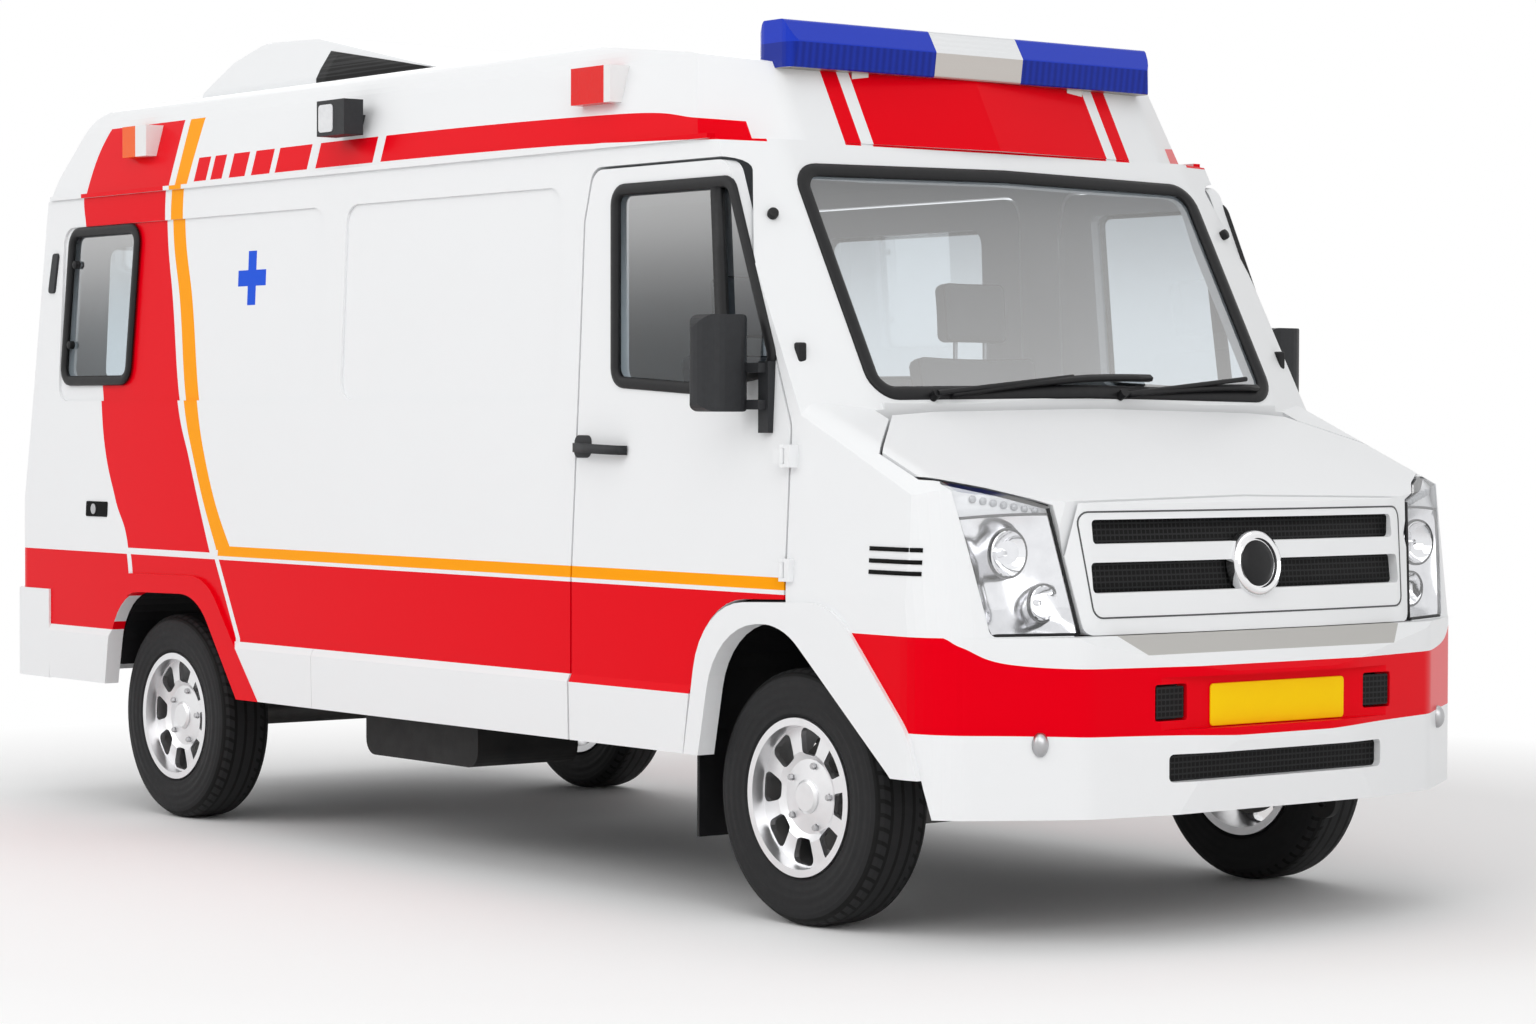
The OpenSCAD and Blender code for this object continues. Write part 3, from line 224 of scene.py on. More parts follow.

# The bumper's red band: rows of (place along the body, height), and the recess above it, painted grey as
# shade
BUMPER_TOP = [(2.20, 0.81), (2.34, 0.805), (2.40, 0.775), (2.48, 0.728), (2.65, 0.716)]
BUMPER_LOW = [(2.20, 0.553), (2.56, 0.546), (2.65, 0.527)]
BUMPER_FROM = 2.0
RECESS_FROM, RECESS_LOW = 2.3, 0.748
RECESS_HALF, RECESS_SLOPE = 0.46, 1.35

# Wheels, light bar and roof marker lamps
AXLES = {"front": 1.750, "rear": -1.600}
WHEEL_Y, WHEEL_Z = 0.830, 0.343
TREAD_FROM = 0.322
BAR_CENTRE, BAR_LENS_Z, BAR_FOOT_Z = 0.165, 2.386, 2.3165
MARKER_WHITE = ((0.885, 1.2), (-1.84, -1.2))


def painted(name):
    """White body paint with a faint drift in its shade, which the livery is laid on."""
    mat = Material(name, Coat_Weight=0.03, Coat_Roughness=0.06, Specular_IOR_Level=0.1)
    mat.vary(0.27, 0.29, 9.0)
    mat.base = mat.mix(mat.noise(2.5), WHITE, WHITE_DULL)
    return mat


def livery():
    """White paint with the red sash, the orange stripe, the roof dashes, the sign panel and the plus."""
    mat = painted("livery_paint")
    x, z, across = mat.x, mat.z, mat.y.size()
    side = across > SIDE_FROM
    red_rear = mat.curve(z, RED_REAR)
    sash = (x > red_rear) & (x < mat.curve(z, RED_FRONT)) & z.inside(SASH_LOW, SASH_TOP)
    sill = z.inside(SILL_LOW, SILL_TOP) & (x < SILL_FRONT)
    sill = sill & ((x - mat.curve(z, LOW_LINE)).size() > LOW_LINE_HALF)
    sill = sill & ((x - red_rear).size() > REAR_LINE_HALF)
    dashes = x.inside(*DASHES[0])
    for dash in DASHES[1:]:
        dashes = dashes | x.inside(*dash)
    dashes = dashes & (z > mat.curve(x, DASH_LOW)) & (z < mat.curve(x, DASH_TOP))
    dashes = dashes & ((mat.y < 0.0) | (x < LEFT_DASH_END))
    sign = (across < SIGN_HALF) | across.inside(*SIGN_EDGE)
    sign = sign & z.inside(SIGN_LOW, SIGN_TOP) & (x > SIGN_FROM)
    red = ((sash | sill | dashes) & side) | sign
    band = z.inside(BAND_LOW, BAND_TOP) & x.inside(BAND_REAR, SILL_FRONT)
    orange = (x > mat.curve(z, ORANGE_REAR)) & (x < mat.curve(z, ORANGE_FRONT))
    orange = ((orange & z.inside(ORANGE_LOW, SASH_TOP)) | band) & side
    along, up = (x - MARK[0]).size(), (z - MARK[1]).size()
    plus = ((along < MARK_BAR) & (up < MARK_ARM)) | ((along < MARK_ARM) & (up < MARK_BAR))
    colour = mat.mix(red, mat.base, RED)
    colour = mat.mix(orange, colour, ORANGE)
    colour = mat.mix(plus & (mat.y < -SIDE_FROM), colour, BLUE)
    _, face_y, face_z = mat.facing()
    inner = ((mat.y * face_y) < -0.25) | (face_z < -0.5)
    mat.link(colour, "Specular Tint")
    mat.link(mat.mix(inner, colour, TRIM), "Base Color")
    return mat


def bumper_paint():
    """White paint with the red band round the front, and painted shade in grey on the recess above it."""
    mat = painted("bumper_paint")
    red = (mat.z > mat.curve(mat.x, BUMPER_LOW)) & (mat.z < mat.curve(mat.x, BUMPER_TOP))
    colour = mat.mix(red & (mat.x > BUMPER_FROM), mat.base, RED)
    # The recess above the band is painted grey as shade
    narrow = mat.y.size() < (mat.z - RECESS_LOW) * RECESS_SLOPE + RECESS_HALF
    recess = (mat.z > RECESS_LOW) & narrow & (mat.x > RECESS_FROM)
    mat.paint(mat.mix(recess, colour, RECESS_SHADE))
    return mat


def flare_paint():
    """White arch flares in front and red ones at the rear."""
    mat = painted("flare_paint")
    mat.paint(mat.mix(mat.x < 0.0, mat.base, RED))
    return mat


def white_paint():
    mat = painted("white_paint")
    mat.link(mat.base, "Base Color")
    return mat


def plain(name, light, dark, rough, scale=30.0, bump=0.0, **settings):
    """A finish whose colour and roughness drift between two values."""
    mat = Material(name, **settings)
    mat.link(mat.mix(mat.noise(scale), light, dark), "Base Color")
    mat.vary(rough[0], rough[1], scale * 1.7)
    if bump:
        mat.bump(mat.noise(scale * 12), 0.35, bump)
    return mat


def sheer(name, tint_low, tint_high, gloss):
    """Clear or tinted sheet with a sharp reflection on its front face.

    The gloss rows are (height, share reflected beyond what glass reflects by itself).
    """
    mat = Material(name)
    tree = mat.tree
    clear = tree.nodes.new("ShaderNodeBsdfTransparent")
    tree.links.new(mat.mix(mat.noise(1.2), tint_low, tint_high), clear.inputs[0])
    shine = tree.nodes.new("ShaderNodeBsdfGlossy")
    shine.inputs["Roughness"].default_value = 0.02
    fresnel = tree.nodes.new("ShaderNodeFresnel")
    fresnel.inputs["IOR"].default_value = 1.5
    share = (Value(tree, fresnel.outputs[0]) + mat.curve(mat.z, gloss)).math("MINIMUM", 1.0)
    behind = Value(tree, tree.nodes.new("ShaderNodeNewGeometry").outputs["Backfacing"])
    mat.blend(share & (behind * -1.0 + 1.0), clear, shine)
    return mat


def tyre_rubber(name, axle_x):
    """Black rubber with tread grooves round the outside and faint moulded rings on the wall."""
    mat = Material(name, Specular_IOR_Level=0.2)
    dx, dz = mat.x - axle_x, mat.z - WHEEL_Z
    reach = (dx * dx + dz * dz).math("SQRT")
    angle = dz.math("ARCTAN2", dx)
    across = mat.y.size() - WHEEL_Y
    ribs = (across * 170.0).math("SINE") > 0.62
    lugs = (angle * 58.0 + (across * 60.0).math("SINE") * 1.6).math("SINE") > 0.55
    grooves = (ribs | (lugs & (across.size() > 0.045))) & (reach > TREAD_FROM)
    wall = (reach * 260.0).math("SINE") * 0.12
    mat.bump(grooves * -1.0 + wall + mat.noise(900.0) * 0.06, 0.8, 0.006)
    mat.link(mat.mix(grooves, (0.018, 0.018, 0.019), (0.004, 0.004, 0.004)), "Base Color")
    mat.vary(0.55, 0.75, 40.0)
    return mat


def lightbar_finish():
    """Blue lenses with darker ribs low down, and a silver centre and foot."""
    mat = Material("blue_lens", Coat_Weight=0.25, Coat_Roughness=0.03, Specular_IOR_Level=0.25)
    centre = mat.y.size() < BAR_CENTRE
    low = mat.z < BAR_LENS_Z
    ribs = (mat.y * 260.0).math("SINE") * 0.16 + 0.55
    blue = mat.mix(ribs & low, (0.010, 0.040, 0.50), (0.002, 0.010, 0.16))
    silver = mat.mix(low, (0.78, 0.79, 0.80), (0.55, 0.52, 0.49))
    metal = centre | (mat.z < BAR_FOOT_Z)
    mat.paint(mat.mix(metal, blue, silver))
    mat.link(metal * 0.85, "Metallic")
    mat.link(metal * 0.16 + 0.12, "Roughness")
    mat.bump((mat.x * 700.0).math("SINE") & centre, 0.3, 0.003)
    return mat


def marker_lens():
    """Roof marker lamps: a coloured half, amber for those behind and red in front, and a white half."""
    mat = Material("marker_lens", Roughness=0.2, Coat_Weight=0.15, Specular_IOR_Level=0.15)
    white = mat.x.inside(*MARKER_WHITE[0]) | mat.x.inside(*MARKER_WHITE[1])
    coloured = mat.mix(mat.x < 0.0, (0.75, 0.01, 0.008), (0.90, 0.12, 0.01))
    mat.link(mat.mix(white, coloured, (0.82, 0.82, 0.82)), "Base Color")
    mat.bump((mat.x * 700.0).math("SINE"), 0.15, 0.002)
    return mat


def mesh_finish(name):
    """Black open mesh: fine dark cells with slightly lighter wires."""
    mat = Material(name, Roughness=0.55, Specular_IOR_Level=0.15)
    wires = ((mat.y * 420.0).math("SINE") > 0.75) | ((mat.z * 420.0).math("SINE") > 0.6)
    mat.link(mat.mix(wires, (0.002, 0.002, 0.002), (0.02, 0.02, 0.021)), "Base Color")
    mat.bump(wires, 0.5, 0.003)
    return mat


def fabric(name, light, dark):
    mat = Material(name, Roughness=0.85, Sheen_Weight=0.3)
    weave = (mat.y * 2600.0).math("SINE") * (mat.z * 2600.0 + mat.x * 2600.0).math("SINE")
    mat.link(mat.mix(mat.noise(14.0), light, dark), "Base Color")
    mat.bump(weave, 0.25, 0.0015)
    return mat


def bright_metal(name, light, dark, rough):
    mat = Material(name, Metallic=1.0)
    mat.link(mat.mix(mat.noise(30.0, 4.0), light, dark), "Base Color")
    mat.vary(rough[0], rough[1], 50.0)
    return mat


M_LIVERY = livery().data
M_BUMPER = bumper_paint().data
M_FLARE = flare_paint().data
M_WHITE = white_paint().data
M_DARK = plain("dark_plastic", (0.020, 0.021, 0.023), (0.030, 0.031, 0.034), (0.42, 0.55), 60.0, 0.0006,
               Specular_IOR_Level=0.25).data
M_BLACK = plain("black_rubber", (0.006, 0.006, 0.007), (0.012, 0.012, 0.013), (0.38, 0.55), 45.0, 0.0004,
                Specular_IOR_Level=0.25).data
# Near black for slots and openings: painted shade where there is only a dark gap
M_OPENING_SHADE = plain("painted_opening_shade", (0.002, 0.002, 0.002), (0.006, 0.006, 0.006), (0.6, 0.8), 20.0,
               Specular_IOR_Level=0.1).data
M_FRAME = plain("frame_steel", (0.012, 0.012, 0.013), (0.03, 0.029, 0.028), (0.45, 0.7), 12.0, 0.0006,
                Specular_IOR_Level=0.2).data
M_CAST = plain("cast_metal", (0.10, 0.10, 0.10), (0.16, 0.155, 0.15), (0.45, 0.65), 18.0, 0.001,
               Metallic=0.7).data
M_STEEL = bright_metal("bare_steel", (0.52, 0.52, 0.53), (0.40, 0.40, 0.41), (0.25, 0.4)).data
M_WHEEL = bright_metal("wheel_metal", (0.82, 0.82, 0.83), (0.74, 0.74, 0.75), (0.30, 0.40)).data
M_CHROME = bright_metal("chrome", (0.90, 0.90, 0.91), (0.82, 0.82, 0.83), (0.05, 0.09)).data
M_TYRE_F = tyre_rubber("tyre_front", AXLES["front"]).data
M_TYRE_R = tyre_rubber("tyre_rear", AXLES["rear"]).data
SCREEN_GLOSS = [(1.40, 0.42), (1.60, 0.36), (1.80, 0.30), (1.95, 0.22), (2.06, 0.08)]
SIDE_GLOSS = [(1.42, 0.02), (1.60, 0.06), (1.75, 0.20), (1.88, 0.38), (2.00, 0.50)]
LENS_GLOSS = [(0.78, 0.04), (1.22, 0.06)]
M_GLASS = sheer("screen_glass", (0.93, 0.96, 0.98), (0.95, 0.97, 0.99), SCREEN_GLOSS).data
M_TINT = sheer("side_glass", (0.84, 0.88, 0.90), (0.88, 0.91, 0.93), SIDE_GLOSS).data
M_LENS = sheer("lamp_lens", (0.93, 0.94, 0.95), (0.97, 0.97, 0.98), LENS_GLOSS).data
M_BAR = lightbar_finish().data
M_MARKER = marker_lens().data
M_MESH = mesh_finish("black_mesh").data
M_SEAT = fabric("seat_fabric", (0.10, 0.11, 0.125), (0.06, 0.065, 0.075)).data
M_YELLOW = plain("plate_yellow", (1.0, 0.66, 0.0), (0.97, 0.62, 0.0), (0.4, 0.5), 25.0,
                 Specular_IOR_Level=0.1).data
M_GREY = plain("bezel_grey", (0.05, 0.052, 0.055), (0.07, 0.072, 0.075), (0.3, 0.45), 40.0).data
M_RED_LENS = plain("red_lens", (0.55, 0.005, 0.006), (0.40, 0.004, 0.005), (0.14, 0.22), 50.0,
                   Coat_Weight=0.2, Specular_IOR_Level=0.2).data
M_AMBER = plain("amber_lens", (0.9, 0.25, 0.01), (0.8, 0.2, 0.01), (0.14, 0.22), 50.0,
                Coat_Weight=0.2, Specular_IOR_Level=0.2).data
M_BOWL = bright_metal("lamp_bowl", (0.88, 0.88, 0.89), (0.70, 0.70, 0.72), (0.10, 0.22)).data
M_STRIP = plain("strip_white", (0.80, 0.81, 0.82), (0.66, 0.67, 0.69), (0.12, 0.25), 60.0,
                Coat_Weight=0.6).data
M_DOT = plain("small_lamps", (0.50, 0.51, 0.53), (0.30, 0.31, 0.33), (0.08, 0.2), 90.0, Coat_Weight=1.0).data
M_INNER = plain("inner_trim", (0.42, 0.43, 0.44), (0.36, 0.37, 0.38), (0.55, 0.7), 10.0).data

FINISH = {
    M_LIVERY: "side_wall_right side_wall_left sliding_door rear_frame roof cab_front door_left door_right "
              "rear_door_left rear_door_right fenders",
    M_WHITE: "bonnet grille skirts rear_bumper roof_pod hinges",
    M_BUMPER: "front_bumper",
    M_FLARE: "arch_flares",
    M_DARK: "mirror_left mirror_right flood_lamps seat_bases",
    M_INNER: "dashboard steering_wheel",
    M_BLACK: "wipers mud_flaps wheel_liners",
    M_FRAME: "chassis_frame leaf_springs fuel_tank",
    M_CAST: "engine radiator front_axle rear_axle knuckle_left knuckle_right",
    M_STEEL: "exhaust",
    M_GREY: "floor_pan",
    M_WHEEL: "rim_front_left rim_front_right rim_rear_left rim_rear_right",
    M_TYRE_F: "tyre_front_left tyre_front_right",
    M_TYRE_R: "tyre_rear_left tyre_rear_right",
    M_GLASS: "windscreen",
    M_TINT: "side_glass door_left_glass door_right_glass rear_door_left_glass rear_door_right_glass",
    M_LENS: "headlamps",
    M_BAR: "light_bar",
    M_MARKER: "side_lamps",
    M_SEAT: "seat_left seat_right",
}
for finish, names in FINISH.items():
    for name in names.split():
        mesh = nodes[name].data
        mesh.materials.clear()
        mesh.materials.append(finish)


def piece(name, verts, faces, finish, body=ROOT, smooth=False):
    """A mesh that rides on a body, with its faces turned outwards."""
    mesh = bpy.data.meshes.new(name)
    mesh.from_pydata([tuple(v) for v in verts], [], faces)
    mesh.materials.append(finish)
    mesh.validate()
    work = bmesh.new()
    work.from_mesh(mesh)
    bmesh.ops.recalc_face_normals(work, faces=work.faces)
    work.to_mesh(mesh)
    work.free()
    for polygon in mesh.polygons:
        polygon.use_smooth = smooth
    thing = bpy.data.objects.new(name, mesh)
    bpy.context.scene.collection.objects.link(thing)
    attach(thing, body)
    return thing


def soften(thing, width):
    """Rounded edges of a given width."""
    bevel = thing.modifiers.new("edges", "BEVEL")
    bevel.width = width
    bevel.segments = 3
    bevel.limit_method = "ANGLE"


def fillet(rows, steps=6):
    """A closed outline with rounded corners, from rows of (across, up, radius)."""
    out = []
    count = len(rows)
    for i, (px, py, radius) in enumerate(rows):
        here = Vector((px, py))
        before = Vector(rows[i - 1][:2]) - here
        after = Vector(rows[(i + 1) % count][:2]) - here
        if radius <= 0:
            out.append(here)
            continue
        a, b = before.normalized(), after.normalized()
        half = a.angle(b) / 2
        run = radius / math.tan(half)
        centre = here + (a + b).normalized() * (radius / math.sin(half))
        start, end = here + a * run - centre, here + b * run - centre
        turn = start.angle_signed(end)
        for k in range(steps + 1):
            out.append(centre + Matrix.Rotation(-turn * k / steps, 2) @ start)
    return out


def sweep(name, path, outs, section, finish, body=ROOT, closed=True):
    """A strip along a path: section rows are (across, out), out is along each point's outward direction."""
    count = len(path)
    verts = []
    for i, point in enumerate(path):
        if closed:
            along = (path[(i + 1) % count] - path[i - 1]).normalized()
        else:
            along = (path[min(i + 1, count - 1)] - path[max(i - 1, 0)]).normalized()
        out = outs[i].normalized()
        across = along.cross(out).normalized()
        verts += [point + across * u + out * v for u, v in section]
    n = len(section)
    faces = []
    for i in range(count if closed else count - 1):
        j = (i + 1) % count
        faces += [(i * n + k, j * n + k, j * n + (k + 1) % n, i * n + (k + 1) % n) for k in range(n)]
    if not closed:
        faces += [tuple(range(n)), tuple(range((count - 1) * n, count * n))]
    return piece(name, verts, faces, finish, body, smooth=True)


def lathe(name, rows, centre, axis, finish, body=ROOT, steps=32, ends=True):
    """A turned piece: rows of (along, radius) round an axis, closed by flat ends or left open."""
    axis = Vector(axis).normalized()
    side = axis.orthogonal().normalized()
    up = axis.cross(side)
    centre = Vector(centre)
    verts, faces = [], []
    for along, radius in rows:
        for k in range(steps):
            a = 2 * math.pi * k / steps
            verts.append(centre + axis * along + (side * math.cos(a) + up * math.sin(a)) * radius)
    for i in range(len(rows) - 1):
        for k in range(steps):
            j = (k + 1) % steps
            faces.append((i * steps + k, i * steps + j, (i + 1) * steps + j, (i + 1) * steps + k))
    if ends:
        faces += [tuple(range(steps)), tuple(range((len(rows) - 1) * steps, len(rows) * steps))]
    thing = piece(name, verts, faces, finish, body, smooth=True)
    split = thing.modifiers.new("split", "EDGE_SPLIT")
    split.split_angle = math.radians(40)
    return thing


def slab(name, outline, low, high, place, finish, body=ROOT, edge=0.0):
    """A plate: an outline of (u, v), from low to high along w; place maps (u, v, w) to the frame."""
    n = len(outline)
    verts = [Vector(place(u, v, low)) for u, v in outline] + [Vector(place(u, v, high)) for u, v in outline]
    faces = [tuple(range(n)), tuple(range(n, 2 * n))]
    faces += [(k, (k + 1) % n, n + (k + 1) % n, n + k) for k in range(n)]
    thing = piece(name, verts, faces, finish, body)
    if edge:
        soften(thing, edge)
    return thing


def box_piece(name, low, high, finish, body=ROOT, edge=0.0):
    outline = [(low[0], low[1]), (high[0], low[1]), (high[0], high[1]), (low[0], high[1])]
    return slab(name, outline, low[2], high[2], lambda u, v, w: (u, v, w), finish, body, edge)


def round_box(low, high, radius, steps=3):
    """A rectangle with rounded corners, from its low and its high corner."""
    (u0, v0), (u1, v1) = low, high
    return fillet([(u0, v0, radius), (u1, v0, radius), (u1, v1, radius), (u0, v1, radius)], steps)


def strip(half, low, high):
    """A flat section for sweep: half its width, and its lowest and highest place outwards."""
    return [(-half, low), (-half, high), (half, high), (half, low)]


def sheet_piece(name, rows, finish, body=ROOT, thick=0.0):
    """A sheet through a grid of points, with a thickness where one is given."""
    n = len(rows[0])
    verts = [v for row in rows for v in row]
    faces = [(i * n + k, i * n + k + 1, (i + 1) * n + k + 1, (i + 1) * n + k)
             for i in range(len(rows) - 1) for k in range(n - 1)]
    thing = piece(name, verts, faces, finish, body, smooth=True)
    if thick:
        solid = thing.modifiers.new("thickness", "SOLIDIFY")
        solid.thickness = thick
        solid.offset = 0.0
    return thing


def egg(name, centre, sizes, finish, body=ROOT, steps=20):
    """A rounded bump with three half sizes."""
    verts, faces = [], []
    rings = steps // 2
    for i in range(1, rings):
        a = math.pi * i / rings
        for k in range(steps):
            b = 2 * math.pi * k / steps
            way = Vector((math.sin(a) * math.cos(b) * sizes[0], math.sin(a) * math.sin(b) * sizes[1],
                          math.cos(a) * sizes[2]))
            verts.append(Vector(centre) + way)
    for i in range(rings - 2):
        for k in range(steps):
            j = (k + 1) % steps
            faces.append((i * steps + k, i * steps + j, (i + 1) * steps + j, (i + 1) * steps + k))
    faces += [tuple(range(steps)), tuple(range((rings - 2) * steps, (rings - 1) * steps))]
    return piece(name, verts, faces, finish, body, smooth=True)


def table(rows, value):
    """Straight-line lookup in rows of (in, out)."""
    for (a, fa), (b, fb) in zip(rows, rows[1:]):
        if value <= b:
            return fa + (fb - fa) * max(value - a, 0.0) / (b - a)
    return rows[-1][1]


def faces_of(name):
    """The faces of a node, for laying details on them."""
    mesh = nodes[name].data
    verts = [v.co.copy() for v in mesh.vertices]
    return BVHTree.FromPolygons(verts, [list(p.vertices) for p in mesh.polygons])


AHEAD_X, BESIDE_Y = 3.2, 1.6


def meet(tree, start, way):
    """Where a ray first meets some faces, and the direction they face there."""
    return tree.ray_cast(Vector(start), Vector(way))[:2]


def from_ahead(tree, y, z):
    return meet(tree, (AHEAD_X, y, z), (-1, 0, 0))[0]


def from_beside(tree, x, z, sign):
    return meet(tree, (x, sign * BESIDE_Y, z), (0, -sign, 0))


# The sides: rows of (height, half width), and the upward share of their outward direction
SIDE_LINE = [(0.0, 0.985), (0.892, 0.985), (1.40, 0.960), (2.11, 0.930)]
SIDE_TILT = 0.045
SIDES = (("right", -1), ("left", 1))


def on_side(x, z, sign, out=0.0):
    return Vector((x, sign * (table(SIDE_LINE, z) + out), z))


def side_plate(name, outline, low, high, sign, finish, body=ROOT, edge=0.0):
    """A thin dark plate on a side, from low to high outwards."""
    slab(name, outline, low, high, lambda u, v, w: on_side(u, v, sign, w), finish, body, edge)


def cross_plate(name, outline, low, high, sign, finish, body=ROOT, edge=0.0):
    """A plate across the body: its outline is (across, up), and low and high lie along the body."""
    slab(name, outline, low, high, lambda u, v, w: (w, sign * u, v), finish, body, edge)


# Window seals: the section, and each window's outline as (along, up, corner radius)
SEAL = [(-0.010, -0.010), (-0.012, 0.004), (-0.004, 0.009), (0.010, 0.009), (0.020, 0.005), (0.022, -0.002)]
DOOR_WINDOW = [(0.953, 1.984, 0.035), (0.985, 1.455, 0.040), (1.330, 1.436, 0.060), (1.640, 1.475, 0.060),
               (1.690, 1.500, 0.030), (1.478, 1.984, 0.040)]
SIDE_WINDOW = [(-2.280, 1.987, 0.045), (-1.815, 1.987, 0.045), (-1.850, 1.479, 0.045), (-2.310, 1.479, 0.045)]
SLIDE_WINDOW = [(-0.380, 1.960, 0.05), (0.440, 1.960, 0.05), (0.440, 1.480, 0.05), (-0.380, 1.480, 0.05)]
REAR_WINDOW = [(0.130, 1.960, 0.05), (0.700, 1.960, 0.05), (0.700, 1.470, 0.05), (0.130, 1.470, 0.05)]


def seal(name, path, out, body=ROOT, wide=1.0, proud=1.0):
    """A rubber strip round a window, with its wide lip away from the window's middle."""
    middle = sum(path, Vector()) / len(path)
    flip = 1 if (path[1] - path[0]).cross(out).dot(path[0] - middle) > 0 else -1
    section = [(u * flip * wide, v * proud) for u, v in SEAL]
    sweep(name, path, [out] * len(path), section, M_BLACK, body)


def side_seal(name, rows, sign, body):
    path = [on_side(x, z, sign) for x, z in fillet(rows)]
    seal(name, path, Vector((0, sign, SIDE_TILT)), body)


for label, sign in SIDES:
    side_seal("door_seal_" + label, DOOR_WINDOW, sign, "door_" + label)
    side_seal("side_seal_" + label, SIDE_WINDOW, sign, ROOT)
side_seal("slide_seal", SLIDE_WINDOW, 1, ROOT)

# The rear doors' seals lie on the leaning rear face
REAR_X, LEAN_FOOT_Z = -2.606, 0.640
REAR_LEAN = 0.134 / (2.110 - LEAN_FOOT_Z)


def on_rear(y, z, out=0.0):
    return Vector((REAR_X + (z - LEAN_FOOT_Z) * REAR_LEAN - out, y, z))


for label, sign in SIDES:
    path = [on_rear(sign * y, z) for y, z in fillet(REAR_WINDOW)]
    seal("rear_seal_" + label, path, Vector((-1, 0, REAR_LEAN)), "rear_door_" + label)

# The windscreen's seal follows the bowed sheet of the screen and lies on the cab's face round it
SCREEN_FOOT = Vector((1.902, 0, 1.397))
SCREEN_TURN = Matrix.Rotation(math.radians(-29.2), 3, "Y")
SCREEN_OUT = SCREEN_TURN @ Vector((1, 0, 0))
SCREEN_BOW = 22.0 / 760.0
SCREEN_HALF, SCREEN_ROUND = 0.735, 0.06
SCREEN_LOW, SCREEN_TOP = 0.038, 0.728
SCREEN_MIDDLE = (SCREEN_LOW + SCREEN_TOP) / 2


def on_screen(y, up, out=0.0):
    return SCREEN_FOOT + SCREEN_TURN @ Vector((out - SCREEN_BOW * abs(y), y, up))


def screen_edge(up, way):
    """One level edge of the screen's outline, in steps that follow its bow."""
    return [(way * SCREEN_HALF * k / 3, up, SCREEN_ROUND if abs(k) == 3 else 0) for k in range(-3, 4)]


cab_tree = faces_of("cab_front")
path = []
for y, up in fillet(screen_edge(SCREEN_LOW, 1) + screen_edge(SCREEN_TOP, -1), 8):
    wide = on_screen(y * 1.022, SCREEN_MIDDLE + (up - SCREEN_MIDDLE) * 1.045)
    rim = meet(cab_tree, wide + SCREEN_OUT * 0.2, -SCREEN_OUT)[0]
    path.append(on_screen(y, up, (rim - wide).dot(SCREEN_OUT)))
seal("screen_seal", path, SCREEN_OUT, ROOT, 1.2, 0.8)

# Door and side details: divider bars, handles with their cups, latches, locks and vents
DIVIDER_Z = (1.98, 1.80, 1.60, 1.445)
DIVIDER_X, DIVIDER_TOP, DIVIDER_LEAN = 1.418, 1.975, 0.12
GRIP = [(0.822, 0.0), (0.835, 0.022), (0.90, 0.030), (1.0, 0.030), (1.035, 0.022), (1.048, 0.0)]
GRIP_X, GRIP_Z, GRIP_FALL = 0.80, 1.266, 0.03
CUP = ((0.80, 1.236), (0.88, 1.300))
LATCH = ((-2.102, 1.006), (-1.951, 1.058))
LOCK = [(-0.004, 0.018), (0.006, 0.018), (0.008, 0.012)]
LOCK_X, LOCK_Z = -2.045, 1.032
VENT = [(-2.441, 1.784, 0.012), (-2.395, 1.784, 0.012), (-2.372, 1.924, 0.012), (-2.415, 1.924, 0.012)]
for label, sign in SIDES:
    door = "door_" + label
    rail = [on_side(DIVIDER_X + (DIVIDER_TOP - z) * DIVIDER_LEAN, z, sign, 0.002) for z in DIVIDER_Z]
    sweep("door_divider_" + label, rail, [Vector((0, sign, SIDE_TILT))] * len(rail),
          strip(0.022, -0.012, 0.004), M_BLACK, door, closed=False)
    grip = [on_side(x, GRIP_Z - (x - GRIP_X) * GRIP_FALL, sign, out) for x, out in GRIP]
    sweep("door_handle_" + label, grip, [Vector((0, 0, 1))] * len(grip),
          strip(0.010, -0.013, 0.013), M_DARK, door, closed=False)
    side_plate("handle_cup_" + label, round_box(*CUP, 0.02, 6), -0.004, 0.003, sign, M_DARK, door)
    # The latch is a near-black plate of painted shade for its opening
    side_plate("side_latch_" + label, round_box(*LATCH, 0.006), -0.006, 0.003, sign, M_OPENING_SHADE)
    lathe("side_lock_" + label, LOCK, on_side(LOCK_X, LOCK_Z, sign), (0, sign, 0), M_STEEL, ROOT,
          20)
    side_plate("side_vent_" + label, fillet(VENT, 3), -0.004, 0.008, sign, M_DARK, ROOT, 0.003)

# Headlamps: a bright bowl behind the lens, two round reflectors and the strip of small lamps on top
LAMP_LOW = ((0.618, 0.803), (0.842, 0.803))
LAMP_HIGH = ((0.672, 1.122), (0.908, 1.186))
LAMP_X = 2.45
LAMP_IN = (-0.93, -0.35, -0.12)
STRIP_FOOT, STRIP_FALL, STRIP_TOP = 0.955, 0.185, 0.992
BOWL_RIM, BOWL_DEEP = 0.007, 0.045
lamp_tree = faces_of("headlamps")


def lamp_at(y, z, sign, depth):
    """A point of the lens in the front view, moved inwards by a depth."""
    place = from_ahead(lamp_tree, sign * y, z)
    if place is None:
        place = lamp_tree.find_nearest(Vector((LAMP_X, sign * y, z)))[0]
    return place + Vector((LAMP_IN[0], LAMP_IN[1] * sign, LAMP_IN[2])) * depth


def lamp_point(across, up, sign, depth):
    """The same by shares: across runs from the grille outwards, up from the bumper, both 0 to 1."""
    low = Vector(LAMP_LOW[0]).lerp(Vector(LAMP_LOW[1]), across)
    high = Vector(LAMP_HIGH[0]).lerp(Vector(LAMP_HIGH[1]), across)
    y, z = low.lerp(high, up)
    return lamp_at(y, z, sign, depth)


def strip_foot(across):
    """Where the strip of small lamps starts: its lower edge runs level."""
    return STRIP_FOOT - STRIP_FALL * across


def bowl_depth(across, up):
    shape = math.sin(math.pi * across) * math.sin(math.pi * up)
    return BOWL_RIM + BOWL_DEEP * math.sqrt(max(shape, 0.0))


